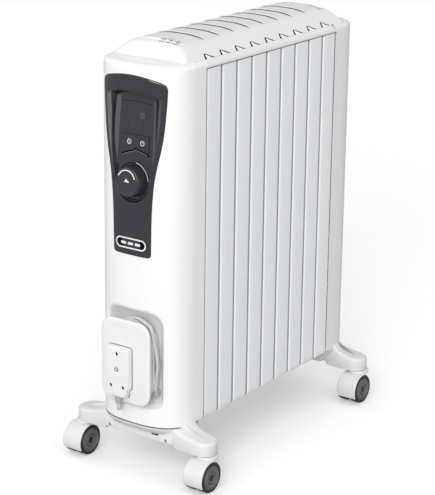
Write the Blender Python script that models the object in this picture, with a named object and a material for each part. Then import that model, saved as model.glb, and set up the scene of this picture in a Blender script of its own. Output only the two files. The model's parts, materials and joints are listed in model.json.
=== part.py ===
"""Oil filled radiator heater: nine oil fins between two end covers, on four twin-wheel casters.

Metres, +Z up, front (control panel) towards -Y. The empty "heater" stands under the middle of the
fin stack; every piece is placed from it. Driving dimensions come first, then one function a piece.
"""
import bpy
import bmesh
import math
from mathutils import Vector

# ---------------------------------------------------------------- driving dimensions
GAP = 0.0003                     # clearance between touching pieces
STACK_SHIFT = 0.00725            # the fin stack's centre lies this far behind the origin

FIN_COUNT = 9
FIN_PITCH = 0.040
FIN_FLANGE = 0.0364              # width of a fin's side panel along Y
FIN_HALF_WIDTH = 0.079
FIN_BOTTOM = 0.088
FIN_TOP = 0.6435
STACK_HALF = FIN_COUNT * FIN_PITCH / 2

HUB_RADIUS = 0.027
HUB_BORE = 0.016
HUB_LOW_Z = 0.150
HUB_HIGH_Z = 0.585

BODY_HALF_DEPTH = 0.260          # outer face of the end covers
END_DEPTH = 0.060                # depth of the covers' rounded end in plan
END_POWER = 2.62                 # exponent of the superellipse that rounds it
COVER_WALL = 0.0026
COVER_RIM_Z = 0.6475             # where the covers' sides turn in
COVER_TOP_Z = 0.6552             # flat roof of the covers, round the top cover

CAP_HALF_WIDTH = 0.0705          # top cover where it meets the covers' roofs
CAP_HALF_LENGTH = 0.2262
CAP_WALL = 0.0026
SLOT_HALF = 0.040
SLOT_WIDTH = 0.0036

PANEL_BOTTOM = 0.361
PANEL_TOP = 0.6378
PANEL_PROUD = 0.0012
KNOB_Z = 0.4755
FLOOR_TILT = math.radians(4.5)   # the display floor looks slightly upward
FLOOR_DEPTH = 0.007              # depth of that floor below the cover's face, at the knob
KNOB_BASE_RADIUS = 0.0268
KNOB_FACE_RADIUS = 0.0232
KNOB_HEIGHT = 0.0186
KEY_TRAVEL = 0.0012
BOARD_DEPTH = 0.0060              # display board's face behind the display floor

RECESS_HALF_WIDTH = 0.0555       # cord recess in the front cover
RECESS_Z = 0.1875
RECESS_HALF_HEIGHT = 0.092
RECESS_FLOOR_Y = -0.2450
WINDER_FRONT_Y = -0.2745
WINDER_Z = 0.191
CORD_DIAMETER = 0.0065
COIL_HALF_WIDTH = 0.047
COIL_HALF_HEIGHT = 0.069
DRUM_HALF_WIDTH = 0.029
DRUM_HALF_HEIGHT = 0.051
GLAND_PLACE = (0.0475, -0.2492)  # (x, y) of the upright gland in the recess's lower corner

FOOT_BOTTOM = 0.054
FOOT_TIP_X = 0.132
FOOT_Y = 0.222
FOOT_HALF_DEPTH = 0.020
# (x, z) outline of the flare between an arm and the body's side
FOOT_FLARE = ((0.060, 0.0700), (0.112, 0.0700), (0.112, 0.0770), (0.098, 0.0800), (0.087, 0.0852),
              (0.0815, 0.0915), (0.0797, 0.0960), (0.0794, FIN_BOTTOM - GAP), (0.060, FIN_BOTTOM - GAP))

CASTER_X = 0.119
CASTER_Y = 0.223
CASTER_TRAIL = 0.0150            # the axle stands this far in front of the swivel's stem
WHEEL_RADIUS = 0.0240
WHEEL_OUTER = 0.0186
WHEEL_INNER = 0.0032
HOOD_RADIUS = 0.0262
HOOD_HALF_WIDTH = 0.0180
STEM_RADIUS = 0.0042
RUNNING_CLEARANCE = 0.0001       # radial, between a shaft and its bore
WHEEL_BORE = 0.0022
AXLE_RADIUS = 0.0020

# ---------------------------------------------------------------- colours of the materials
FINISHES = {
    "white_plastic": ((0.86, 0.86, 0.86), 0.35, 0.0),
    "white_enamel": ((0.78, 0.79, 0.80), 0.30, 0.0),
    "dark_plastic": ((0.055, 0.055, 0.065), 0.35, 0.0),
    "smoked_lens": ((0.03, 0.03, 0.035), 0.08, 0.0),
    "grey_cord": ((0.62, 0.63, 0.64), 0.55, 0.0),
    "wheel_rubber": ((0.035, 0.035, 0.035), 0.60, 0.0),
    "zinc_steel": ((0.60, 0.60, 0.58), 0.35, 1.0),
    "circuit_board": ((0.03, 0.16, 0.07), 0.55, 0.0),
    "black_bakelite": ((0.02, 0.02, 0.02), 0.45, 0.0),
}


def material(name):
    """Principled material for one finish, made once."""
    found = bpy.data.materials.get(name)
    if found:
        return found
    colour, roughness, metallic = FINISHES[name]
    made = bpy.data.materials.new(name)
    made.use_nodes = True
    shader = made.node_tree.nodes["Principled BSDF"]
    shader.inputs["Base Color"].default_value = (*colour, 1.0)
    shader.inputs["Roughness"].default_value = roughness
    shader.inputs["Metallic"].default_value = metallic
    return made


# ---------------------------------------------------------------- mesh helpers
def new_object(name, mesh, finish=None, parent=None):
    obj = bpy.data.objects.new(name, mesh)
    bpy.context.scene.collection.objects.link(obj)
    obj.parent = parent or HEATER
    if finish:
        mesh.materials.append(material(finish))
        mesh.shade_smooth()
        mesh.set_sharp_from_angle(angle=math.radians(35))
    return obj


def loft(name, rings, finish=None, parent=None):
    """Closed solid through equal-length rings of points; its end rings are filled."""
    count = len(rings[0])
    points = [point for ring in rings for point in ring]
    faces = []
    for level in range(len(rings) - 1):
        low, high = level * count, (level + 1) * count
        for i in range(count):
            j = (i + 1) % count
            faces.append((low + i, low + j, high + j, high + i))
    faces.append(tuple(reversed(range(count))))
    faces.append(tuple(range((len(rings) - 1) * count, len(rings) * count)))
    mesh = bpy.data.meshes.new(name)
    mesh.from_pydata([tuple(p) for p in points], [], faces)
    work = bmesh.new()
    work.from_mesh(mesh)
    bmesh.ops.recalc_face_normals(work, faces=work.faces)
    work.to_mesh(mesh)
    work.free()
    return new_object(name, mesh, finish, parent)


def prism_z(name, plan, low, high, finish=None, parent=None):
    """Outline of (x, y) points extruded from z = low to z = high."""
    return loft(name, [[(x, y, z) for x, y in plan] for z in (low, high)], finish, parent)


def prism_y(name, outline, front, back, finish=None, parent=None):
    """Outline of (x, z) points extruded from y = front to y = back."""
    return loft(name, [[(x, y, z) for x, z in outline] for y in (front, back)], finish, parent)


def box(name, low, high, finish=None, parent=None):
    plan = [(low[0], low[1]), (high[0], low[1]), (high[0], high[1]), (low[0], high[1])]
    return prism_z(name, plan, low[2], high[2], finish, parent)


def circle(radius, segments=24, centre=(0.0, 0.0), turn=0.0):
    """Points of a circle, counter-clockwise."""
    return [(centre[0] + radius * math.cos(turn + 2 * math.pi * i / segments),
             centre[1] + radius * math.sin(turn + 2 * math.pi * i / segments))
            for i in range(segments)]


def rounded_rectangle(half_u, half_v, radius, centre=(0.0, 0.0), corner_steps=5):
    """Rectangle with arc corners, counter-clockwise; radius equal to half_u makes a stadium."""
    points = []
    for quarter, (su, sv) in enumerate(((1, 1), (-1, 1), (-1, -1), (1, -1))):
        cu, cv = su * (half_u - radius), sv * (half_v - radius)
        for step in range(corner_steps + 1):
            angle = math.pi / 2 * (quarter + step / corner_steps)
            point = (centre[0] + cu + radius * math.cos(angle), centre[1] + cv + radius * math.sin(angle))
            if not points or math.dist(points[-1], point) > 1e-6:
                points.append(point)
    return points


def turned_x(name, profile, segments, finish=None, parent=None):
    """Solid of revolution about X; the profile is a closed run of (x, radius) points."""
    rings = []
    for x, radius in profile:
        rings.append([(x, radius * math.cos(2 * math.pi * i / segments),
                       radius * math.sin(2 * math.pi * i / segments)) for i in range(segments)])
    return loft(name, rings, finish, parent)


def cylinder_y(name, radius, front, back, centre, segments=24, finish=None, parent=None):
    return prism_y(name, circle(radius, segments, centre), front, back, finish, parent)


def guide(obj):
    """Marks a Boolean operand as construction only."""
    obj.hide_render = True
    obj.display_type = "WIRE"
    return obj


def boolean(obj, operand, operation):
    step = obj.modifiers.new(operation.lower(), "BOOLEAN")
    step.operation = operation
    step.solver = "EXACT"
    step.object = guide(operand)
    return obj


def cut(obj, cutter):
    return boolean(obj, cutter, "DIFFERENCE")


def fuse(obj, other):
    return boolean(obj, other, "UNION")


def empty(name, location, parent=None, rotation=(0.0, 0.0, 0.0)):
    made = bpy.data.objects.new(name, None)
    bpy.context.scene.collection.objects.link(made)
    made.parent = parent
    made.location = location
    made.rotation_euler = rotation
    return made


# ---------------------------------------------------------------- shared outlines
def end_outline(inset=0.0, seam=STACK_HALF + GAP, steps=22, half_width=FIN_HALF_WIDTH):
    """Front cover's plan, from its +X seam round the superellipse to its -X seam."""
    a, b = half_width - inset, END_DEPTH - inset
    start = BODY_HALF_DEPTH - END_DEPTH
    points = [(a, -seam)]
    for i in range(steps + 1):
        angle = math.pi * i / steps
        c, s = math.cos(angle), math.sin(angle)
        x = a * math.copysign(abs(c) ** (2 / END_POWER), c)
        points.append((x, -start - b * abs(s) ** (2 / END_POWER)))
    points.append((-a, -seam))
    return points


def cover_face_y(x, proud=0.0):
    """The front cover's surface at a given x."""
    a, b = FIN_HALF_WIDTH + proud, END_DEPTH + proud
    return -(BODY_HALF_DEPTH - END_DEPTH) - b * (1 - (abs(x) / a) ** END_POWER) ** (1 / END_POWER)


PANEL_SIDES = ((0.375, 0.0350), (0.410, 0.0355), (0.437, 0.0364), (0.460, 0.0380), (0.480, 0.0402),
               (0.500, 0.0437), (0.520, 0.0482), (0.540, 0.0520), (0.560, 0.0546), (0.585, 0.0566),
               (0.605, 0.0580), (0.622, 0.0585))


def panel_half_width(z):
    """The panel is widest under its arched top and draws in past the knob."""
    if z <= PANEL_SIDES[0][0]:
        return PANEL_SIDES[0][1]
    for (z0, w0), (z1, w1) in zip(PANEL_SIDES, PANEL_SIDES[1:]):
        if z <= z1:
            return w0 + (w1 - w0) * (z - z0) / (z1 - z0)
    return PANEL_SIDES[-1][1]


def panel_outline(grow=0.0):
    """(x, z) outline of the control panel, counter-clockwise from its lower right corner."""
    low = PANEL_BOTTOM - grow
    corner = 0.006
    right = [(PANEL_SIDES[0][1] - corner, low), (PANEL_SIDES[0][1] - 0.0018 + grow, low + 0.0020),
             (PANEL_SIDES[0][1] + grow, low + corner)]
    right += [(w + grow, z) for z, w in PANEL_SIDES]
    right.append((0.0558 + grow, 0.6288 + grow))
    arch = []
    span, rise = 0.0520, PANEL_TOP - 0.6305
    for i in range(9):
        x = span * (1 - i / 4)
        arch.append((x, 0.6305 + rise * (1 - (x / span) ** 2) + grow))
    left = [(-x, z) for x, z in reversed(right)]
    return right + arch + left


def window_outline(depth_share):
    """(x, z) outline of the display pocket: at the panel's face (0) or on its floor (1).

    Its sides follow the panel's, its lower end is the round seat of the knob, and it narrows
    with depth, most at the top, where the pocket is deepest.
    """
    seat = 0.0330
    points = []
    for i in range(9):
        angle = math.radians(-90 + 12.5 * i)
        points.append((seat * math.cos(angle), KNOB_Z + seat * math.sin(angle)))
    for z in (0.500, 0.520, 0.540, 0.560, 0.585, 0.600):
        points.append((panel_half_width(z) - 0.0080, z))
    points.append((0.0470, 0.6075))
    for x in (0.030, 0.010):
        points.append((x, 0.6125 - 0.0040 * (x / 0.047) ** 2))
    points = points + [(-x, z) for x, z in reversed(points[1:])]
    shaped = []
    for x, z in points:
        draft = depth_share * (0.0012 + 0.0085 * max(0.0, (z - 0.470) / 0.140))
        factor = 1 - draft / 0.040
        shaped.append((x * factor, z - (draft * 0.35 if z > 0.60 else 0.0)))
    return shaped


def floor_y(z, behind=0.0):
    """Tilted floor of the display pocket; behind is measured into the heater."""
    surface = -BODY_HALF_DEPTH + FLOOR_DEPTH + (z - KNOB_Z) * math.tan(FLOOR_TILT)
    return surface + behind


# ---------------------------------------------------------------- oil circuit
def fin_profile():
    """Plan of one fin: oil channel web between two folded side panels, counter-clockwise."""
    edge, lip, wall = FIN_FLANGE / 2, 0.0730, 0.0015
    inner = FIN_HALF_WIDTH - wall
    quarter = [(0.0500, 0.0065), (0.0560, 0.0012), (inner, 0.0012), (inner, edge - wall), (lip, edge - wall),
               (lip, edge), (FIN_HALF_WIDTH - 0.0014, edge), (FIN_HALF_WIDTH, edge - 0.0014)]
    right = [(x, -y) for x, y in quarter] + list(reversed(quarter))
    left = [(-x, -y) for x, y in right]
    return right + left


def fins():
    """Nine welded steel fins in a row, joined through a high and a low oil hub."""
    for number in range(FIN_COUNT):
        y = (number - (FIN_COUNT - 1) / 2) * FIN_PITCH
        name = "fin_%d" % (number + 1)
        fin = prism_z(name, fin_profile(), FIN_BOTTOM, FIN_TOP, "white_enamel")
        fin.location.y = y
        half = FIN_PITCH / 2 - GAP / 2
        for where, z in (("high", HUB_HIGH_Z), ("low", HUB_LOW_Z)):
            hub = cylinder_y("%s_%s_hub" % (name, where), HUB_RADIUS, y - half, y + half, (0, z), 14)
            bore = cylinder_y("%s_%s_bore" % (name, where), HUB_BORE, y - 0.03, y + 0.03, (0, z), 8)
            fuse(fin, hub)
            cut(fin, bore)


def heating_element():
    """Flanged U-shaped tubular element that lies in the low hubs."""
    face = -STACK_HALF - GAP - 0.0016
    element = cylinder_y("heating_element", 0.0265, face - 0.005, face, (0, HUB_LOW_Z), 20, "zinc_steel")
    reach, spread, tube = 0.150, 0.0080, 0.0042
    route = [(-spread, face - 0.012)]
    route += [(-spread, face + 0.010 + (reach - face - 0.010) * i / 3) for i in range(4)]
    route += [(-spread * math.cos(math.pi * i / 8), reach + spread * math.sin(math.pi * i / 8))
              for i in range(1, 8)]
    route += [(x * -1, y) for x, y in reversed(route[:5])]
    curve = bpy.data.curves.new("heating_element_tube", "CURVE")
    curve.dimensions = "3D"
    curve.bevel_depth = tube
    curve.bevel_resolution = 2
    curve.use_fill_caps = True
    spline = curve.splines.new("POLY")
    spline.points.add(len(route) - 1)
    for point, (x, y) in zip(spline.points, route):
        point.co = (x, y, HUB_LOW_Z, 1)
    rod = bpy.data.objects.new("heating_element_tube", curve)
    bpy.context.scene.collection.objects.link(rod)
    depsgraph = bpy.context.evaluated_depsgraph_get()
    mesh = bpy.data.meshes.new_from_object(rod.evaluated_get(depsgraph))
    bpy.data.objects.remove(rod)
    fuse(element, new_object("heating_element_rod", mesh))


def oil_circuit_ends():
    """Gasket under the element's flange, the two blank caps and the filling plug."""
    front, back = -STACK_HALF - GAP, STACK_HALF + GAP
    gasket = cylinder_y("flange_gasket", 0.0262, front - 0.0016 + GAP, front, (0, HUB_LOW_Z), 20,
                        "black_bakelite")
    cut(gasket, cylinder_y("flange_gasket_bore", 0.0150, front - 0.01, front + 0.01, (0, HUB_LOW_Z), 16))
    cylinder_y("front_hub_cap", 0.0240, front - 0.003, front, (0, HUB_HIGH_Z), 20, "white_enamel")
    cylinder_y("rear_hub_cap", 0.0240, back, back + 0.003, (0, HUB_LOW_Z), 20, "white_enamel")
    plug = cylinder_y("oil_fill_plug", 0.0120, back, back + 0.008, (0, HUB_HIGH_Z), 6, "zinc_steel")
    fuse(plug, cylinder_y("oil_fill_plug_thread", 0.0100, back - 0.014, back + 0.004, (0, HUB_HIGH_Z), 16))
    fuse(plug, cylinder_y("oil_fill_plug_collar", 0.0190, back, back + 0.002, (0, HUB_HIGH_Z), 20))


# ---------------------------------------------------------------- covers
def cover_shell(name):
    """Solid of an end cover before its openings: rounded end, turned-in rim and flat roof."""
    seam = STACK_HALF + GAP
    outer = end_outline(0.0, seam)
    rings = [[(x, y, FIN_BOTTOM) for x, y in outer], [(x, y, COVER_RIM_Z) for x, y in outer]]
    for inset, z in ((0.0015, 0.6505), (0.0038, 0.6530), (0.0075, 0.6548), (0.0110, COVER_TOP_Z)):
        rings.append([(x, y, z) for x, y in end_outline(inset, seam)])
    shell = loft(name, rings, "white_plastic")
    inner = []
    for inset, z in ((COVER_WALL, FIN_BOTTOM - 0.01), (COVER_WALL, COVER_RIM_Z - 0.0006), (0.0045, 0.6498),
                     (0.0080, 0.6520), (0.0120, 0.6526)):
        inner.append([(x, y, z) for x, y in end_outline(inset, seam - 0.01)])
    hollow = loft(name + "_hollow", inner)
    opening = rounded_rectangle(CAP_HALF_WIDTH + GAP, 0.0480, 0.0120,
                                (0, -(CAP_HALF_LENGTH + GAP - 0.0480)), 4)
    cut(shell, hollow)
    cut(shell, prism_z(name + "_roof_opening", opening, COVER_TOP_Z - 0.02, COVER_TOP_Z + 0.02))
    return shell, hollow


def front_cover():
    shell, hollow = cover_shell("front_cover")
    boss = rounded_rectangle(RECESS_HALF_WIDTH + COVER_WALL, RECESS_HALF_HEIGHT + COVER_WALL, 0.0270,
                             (0, RECESS_Z), 5)
    recess = rounded_rectangle(RECESS_HALF_WIDTH, RECESS_HALF_HEIGHT, 0.0245, (0, RECESS_Z), 5)
    cut(hollow, prism_y("front_cover_recess_boss", boss, -0.30, RECESS_FLOOR_Y + COVER_WALL))
    cut(shell, prism_y("front_cover_recess", recess, -0.30, RECESS_FLOOR_Y))
    cut(shell, prism_y("front_cover_panel_opening", panel_outline(0.0004), -0.30, -0.20))
    cut(shell, prism_z("front_cover_lead_way", circle(0.0030, 10, GLAND_PLACE), 0.090, 0.106))


def rear_cover():
    shell, hollow = cover_shell("rear_cover")
    for piece in [shell, hollow] + [step.object for step in shell.modifiers]:
        piece.rotation_euler.z = math.pi
    for level in range(5):
        z = 0.180 + 0.030 * level
        slot = rounded_rectangle(0.030, 0.0025, 0.0025, (0, z), 3)
        cut(shell, prism_y("rear_cover_vent_%d" % level, slot, 0.20, 0.30))


def top_cover():
    """Raised cap over the fins, with its two side rails, cross slots and shoulder vents."""
    half = CAP_HALF_WIDTH
    rail = FIN_HALF_WIDTH
    rail_end = STACK_HALF - GAP
    under = FIN_TOP + GAP

    def ring(inset, z, ends):
        plan = rounded_rectangle(half - inset, CAP_HALF_LENGTH - ends, 0.0120, (0, 0), 4)
        return [(x, y, z) for x, y in plan]

    skin = [(0.0, 0.6520, 0.0), (0.0, 0.6554, 0.0), (0.0100, 0.6643, 0.0065), (0.0255, 0.6765, 0.0180)]
    rings = [ring(inset, z, ends) for inset, z, ends in skin]
    crown = [(0.0405, 0.6795, 0.0240), (0.0560, 0.6810, 0.0300)]
    rings += [ring(inset, z, ends) for inset, z, ends in crown]
    cover = loft("top_cover", rings, "white_plastic")
    inner = [(CAP_WALL, 0.6480, CAP_WALL), (CAP_WALL, 0.6536, CAP_WALL),
             (0.0115, 0.6616, 0.0088), (0.0262, 0.6738, 0.0203), (0.0410, 0.6768, 0.0264),
             (0.0562, 0.6783, 0.0324)]
    hollow = loft("top_cover_hollow", [ring(inset, z, ends) for inset, z, ends in inner])
    for side in (-1, 1):
        profile = [(side * rail, under), (side * rail, 0.6475), (side * (rail - 0.0030), 0.6520),
                   (side * half, 0.6554), (side * (half - 0.004), 0.6554), (side * (half - 0.004), under)]
        name = "top_cover_rail_%s" % ("left" if side < 0 else "right")
        fuse(cover, prism_y(name, profile, -rail_end, rail_end))
    cut(cover, hollow)
    for number in range(FIN_COUNT - 1):
        y = (number - (FIN_COUNT - 2) / 2) * FIN_PITCH
        slot = rounded_rectangle(SLOT_HALF, SLOT_WIDTH / 2, SLOT_WIDTH / 2, (0, y), 1)
        cut(cover, prism_z("top_cover_slot_%d" % (number + 1), slot, 0.660, 0.700))
    for number in range(FIN_COUNT):
        y = (number - (FIN_COUNT - 1) / 2) * FIN_PITCH
        for side in (-1, 1):
            vent = [(side * 0.0690, y - 0.0100), (side * 0.0690, y + 0.0110), (side * 0.0620, y - 0.0040)]
            label = "top_cover_vent_%d_%s" % (number + 1, "left" if side < 0 else "right")
            cut(cover, prism_z(label, vent, 0.6500, 0.6700))


# ---------------------------------------------------------------- control panel
def control_panel():
    """Dark frame set into the front cover, with the drafted pocket of the display."""
    frame = prism_y("control_panel", panel_outline(), -0.27, -0.2380, "dark_plastic")
    envelope = [(x, y) for x, y in end_outline(-PANEL_PROUD, 0.170, 28)]
    boolean(frame, prism_z("control_panel_envelope", envelope, 0.30, 0.68), "INTERSECT")
    face = [(x, -0.2640, z) for x, z in window_outline(0.0)]
    floor = [(x, floor_y(z), z) for x, z in window_outline(1.0)]
    well = [(x, -0.2300, z) for x, z in window_outline(1.0)]
    cut(frame, loft("control_panel_pocket", [face, floor, well]))


def display_window():
    """Smoked lens on the pocket's floor, with the openings for the keys and the knob's shaft."""
    inset = 1 - 0.0006 / 0.035
    outline = [(x * inset, KNOB_Z + (z - KNOB_Z) * inset) for x, z in window_outline(1.0)]
    rings = [[(x, floor_y(z, back), z) for x, z in outline] for back in (0.0002, 0.0022)]
    lens = loft("display_window", rings, "smoked_lens")
    cut(lens, prism_y("display_window_key_opening", key_outline(0, 0.0004), -0.30, -0.20))
    cut(lens, cylinder_y("display_window_shaft_hole", 0.0060, -0.30, -0.20, (0, KNOB_Z), 16))


def key_outline(side, grow):
    """(x, z) outline of the left (-1) or right (1) key, or of both together (0).

    The lower edge is an arc about the knob's axis; the two keys meet under a small peak.
    """
    arc, peak, top, half = 0.0440 - grow, 0.0490 - grow, 0.0690 + grow, 0.0245 + grow
    inner = 0.0004
    angles = [math.radians(a) for a in (58, 66, 74, 82)]
    right = [(arc * math.cos(a), KNOB_Z + arc * math.sin(a)) for a in angles]
    right[0] = (half, KNOB_Z + math.sqrt(arc ** 2 - half ** 2))
    if side == 0:
        left = [(-x, z) for x, z in right]
        lower = right + [(0.0, KNOB_Z + peak - 0.004)] + left[::-1]
        return lower + [(-half, KNOB_Z + top), (half, KNOB_Z + top)]
    outline = right + [(inner, KNOB_Z + peak - 0.0035), (inner, KNOB_Z + top), (half, KNOB_Z + top)]
    return [(side * x, z) for x, z in outline]


def keys():
    """Power and timer keys that travel square to the lens."""
    for name, side in (("power_key", -1), ("timer_key", 1)):
        outline = key_outline(side, 0.0)
        back = BOARD_DEPTH - KEY_TRAVEL - 0.0002
        rings = [[(x, floor_y(z, depth), z) for x, z in outline] for depth in (-0.0008, back)]
        loft(name, rings, "smoked_lens")


def knob():
    """Conical control knob on the tilted shaft of its encoder."""
    pivot = empty("knob_axis", (0, floor_y(KNOB_Z), KNOB_Z), HEATER, (math.pi / 2 - FLOOR_TILT, 0, 0))
    profile = [(KNOB_BASE_RADIUS, 0.0004), (KNOB_BASE_RADIUS, 0.0020),
               (KNOB_FACE_RADIUS + 0.0008, KNOB_HEIGHT - 0.0016),
               (KNOB_FACE_RADIUS - 0.0008, KNOB_HEIGHT - 0.0002), (0.0120, KNOB_HEIGHT + 0.0002)]
    rings = [[(x, y, z) for x, y in circle(radius, 32)] for radius, z in profile]
    body = loft("knob", rings, "dark_plastic", pivot)
    bore = [[(x, y, z) for x, y in circle(0.0033, 12)] for z in (-0.010, 0.0120)]
    cut(body, loft("knob_bore", bore, None, pivot))
    shaft = [[(x, y, z) for x, y in circle(radius, 12)]
             for radius, z in ((0.0030, 0.0110), (0.0030, -0.0040))]
    base = [[(x, y, z) for x, y in rounded_rectangle(0.0060, 0.0060, 0.001, (0, 0), 2)]
            for z in (-0.0030, -0.0100)]
    encoder = loft("rotary_encoder", base, "zinc_steel", pivot)
    fuse(encoder, loft("rotary_encoder_shaft", shaft, None, pivot))


def badge():
    """Plain pill-shaped badge on the panel's lower end."""
    outline = rounded_rectangle(0.0280, 0.0085, 0.0084, (0, 0.3795), 4)
    plate = prism_y("badge", outline, -0.27, -0.2560, "dark_plastic")
    skin = end_outline(-PANEL_PROUD - 0.0010, 0.170, 28)
    boolean(plate, prism_z("badge_skin", skin, 0.36, 0.40), "INTERSECT")
    back = end_outline(-PANEL_PROUD - 0.0003, 0.170, 28)
    cut(plate, prism_z("badge_back", back, 0.35, 0.41))


# ---------------------------------------------------------------- parts behind the front cover
def inner_parts():
    """Sheet-metal bracket, its heat shield, the boards and the safety switches."""
    shield_y = -0.1960
    shield = box("heat_shield", (-0.062, shield_y, 0.100), (0.062, shield_y + 0.0010, 0.632), "zinc_steel")
    cut(shield, cylinder_y("heat_shield_hole", 0.0300, -0.22, -0.18, (0, HUB_LOW_Z), 20))
    bracket_y = -0.2180
    bracket = box("control_bracket", (-0.055, bracket_y, 0.290), (0.055, bracket_y + 0.0012, 0.630),
                  "zinc_steel")
    cut(bracket, prism_y("control_bracket_opening", rounded_rectangle(0.030, 0.030, 0.008, (0, 0.560), 3),
                         -0.24, -0.20))
    board_y = -0.2245
    board = box("main_board", (-0.042, board_y, 0.300), (0.042, board_y + 0.0016, 0.420), "circuit_board")
    fuse(board, box("main_board_relay", (-0.034, board_y - 0.010, 0.385), (-0.012, board_y + 0.001, 0.412)))
    fuse(board, box("main_board_supply", (0.004, board_y - 0.011, 0.320), (0.034, board_y + 0.001, 0.355)))
    corners = [(-0.030, 0.508), (0.030, 0.508), (0.030, 0.598), (-0.030, 0.598)]
    faces = (BOARD_DEPTH, BOARD_DEPTH + 0.0016)
    rings = [[(x, floor_y(z, behind), z) for x, z in corners] for behind in faces]
    loft("display_board", rings, "circuit_board")
    cylinder_y("thermal_cutout", 0.0085, shield_y - 0.0100, shield_y - GAP, (0.030, 0.250), 16,
               "black_bakelite")
    box("tip_over_switch", (-0.020, -0.2300, 0.0980), (0.020, -0.2060, 0.1165), "black_bakelite")
    box("terminal_block", (-0.045, -0.2160, 0.200), (-0.015, -0.2020, 0.220), "black_bakelite")


# ---------------------------------------------------------------- cord store
def winder():
    """Rounded plate on an oval drum, fixed to the floor of the cord recess."""
    plate = [(WINDER_FRONT_Y, 0.0040), (WINDER_FRONT_Y + 0.0014, 0.0008), (WINDER_FRONT_Y + 0.0030, 0.0),
             (WINDER_FRONT_Y + 0.0042, 0.0)]
    rings = [[(x, y, z) for x, z in rounded_rectangle(0.0460 - inset, 0.0662 - inset, 0.0210 - inset,
                                                       (0, WINDER_Z), 5)] for y, inset in plate]
    body = loft("cord_winder", rings, "white_plastic")
    drum = rounded_rectangle(DRUM_HALF_WIDTH, DRUM_HALF_HEIGHT, DRUM_HALF_WIDTH, (0, RECESS_Z), 8)
    fuse(body, prism_y("cord_winder_drum", drum, WINDER_FRONT_Y + 0.003, RECESS_FLOOR_Y - GAP))
    hollow = rounded_rectangle(DRUM_HALF_WIDTH - 0.0025, DRUM_HALF_HEIGHT - 0.0025, DRUM_HALF_WIDTH - 0.0025,
                               (0, RECESS_Z), 8)
    cut(body, prism_y("cord_winder_hollow", hollow, WINDER_FRONT_Y + 0.0055, RECESS_FLOOR_Y + 0.01))


def cord_curve(name, points, finish):
    """Plain tube along a smooth curve through the route's points."""
    route = [Vector(p) for p in points]
    smooth = []
    for i in range(len(route) - 1):
        before, here = route[max(i - 1, 0)], route[i]
        there, after = route[i + 1], route[min(i + 2, len(route) - 1)]
        for step in range(3):
            t = step / 3
            smooth.append(0.5 * (2 * here + (there - before) * t
                                 + (2 * before - 5 * here + 4 * there - after) * t * t
                                 + (3 * here - before - 3 * there + after) * t ** 3))
    smooth.append(route[-1])
    curve = bpy.data.curves.new(name, "CURVE")
    curve.dimensions = "3D"
    curve.bevel_depth = CORD_DIAMETER / 2
    curve.bevel_resolution = 2
    curve.use_fill_caps = True
    spline = curve.splines.new("POLY")
    spline.points.add(len(smooth) - 1)
    for point, place in zip(spline.points, smooth):
        point.co = (*place, 1)
    curve.materials.append(material(finish))
    obj = bpy.data.objects.new(name, curve)
    bpy.context.scene.collection.objects.link(obj)
    obj.parent = HEATER
    return obj


def cord():
    """Gland, wound coil, free end and docked plug of the mains lead."""
    gland_x, gland_y = GLAND_PLACE
    gland_rings = [[(x, y, z) for x, y in circle(radius, 12, GLAND_PLACE)]
                   for radius, z in ((0.0026, 0.0915), (0.0026, 0.1082), (0.0038, 0.1094), (0.0036, 0.1240))]
    loft("cord_gland", gland_rings, "grey_cord")
    lead = [(gland_x, gland_y, 0.1243), (gland_x, gland_y, 0.1290), (gland_x - 0.0002, gland_y, 0.1340),
            (gland_x - 0.0010, gland_y, 0.1370)]
    cord_curve("cord_lead_in", lead, "grey_cord")
    outer = rounded_rectangle(COIL_HALF_WIDTH, COIL_HALF_HEIGHT, COIL_HALF_WIDTH, (0, RECESS_Z), 8)
    inner = rounded_rectangle(DRUM_HALF_WIDTH + GAP, DRUM_HALF_HEIGHT + GAP, DRUM_HALF_WIDTH + GAP,
                              (0, RECESS_Z), 8)
    front, back = WINDER_FRONT_Y + 0.0042 + GAP, RECESS_FLOOR_Y - 2 * GAP
    coil = prism_y("cord_coil", outer, front, back, "grey_cord")
    cut(coil, prism_y("cord_coil_core", inner, front - 0.01, back + 0.01))
    bend, turn_z = 0.0130, 0.1160
    plug_y = -0.2805
    free = [(0, plug_y, 0.1247), (0, plug_y, 0.1205)]
    for i in range(7):
        angle = math.pi * i / 6
        free.append((0, plug_y + bend * (1 - math.cos(angle)), turn_z - bend * math.sin(angle)))
    free.append((0, plug_y + 2 * bend, RECESS_Z - COIL_HALF_HEIGHT - 2 * GAP))
    cord_curve("cord_free_end", free, "grey_cord")
    relief_sizes = ((0.0062, 0.0046, 0.1372), (0.0056, 0.0044, 0.1330), (0.0042, 0.0040, 0.1250))
    relief_rings = [[(x, y, z) for x, y in rounded_rectangle(w, d, 0.0020, (0, plug_y), 2)]
                    for w, d, z in relief_sizes]
    loft("cord_strain_relief", relief_rings, "grey_cord")
    plug_back = WINDER_FRONT_Y - GAP
    plug_outline = [(-0.0200, 0.1500), (-0.0140, 0.1375), (0.0140, 0.1375), (0.0200, 0.1500),
                    (0.0200, 0.2140), (0.0170, 0.2180), (-0.0170, 0.2180), (-0.0200, 0.2140)]
    prism_y("mains_plug", plug_outline, plug_back - 0.0110, plug_back, "white_plastic")


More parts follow.
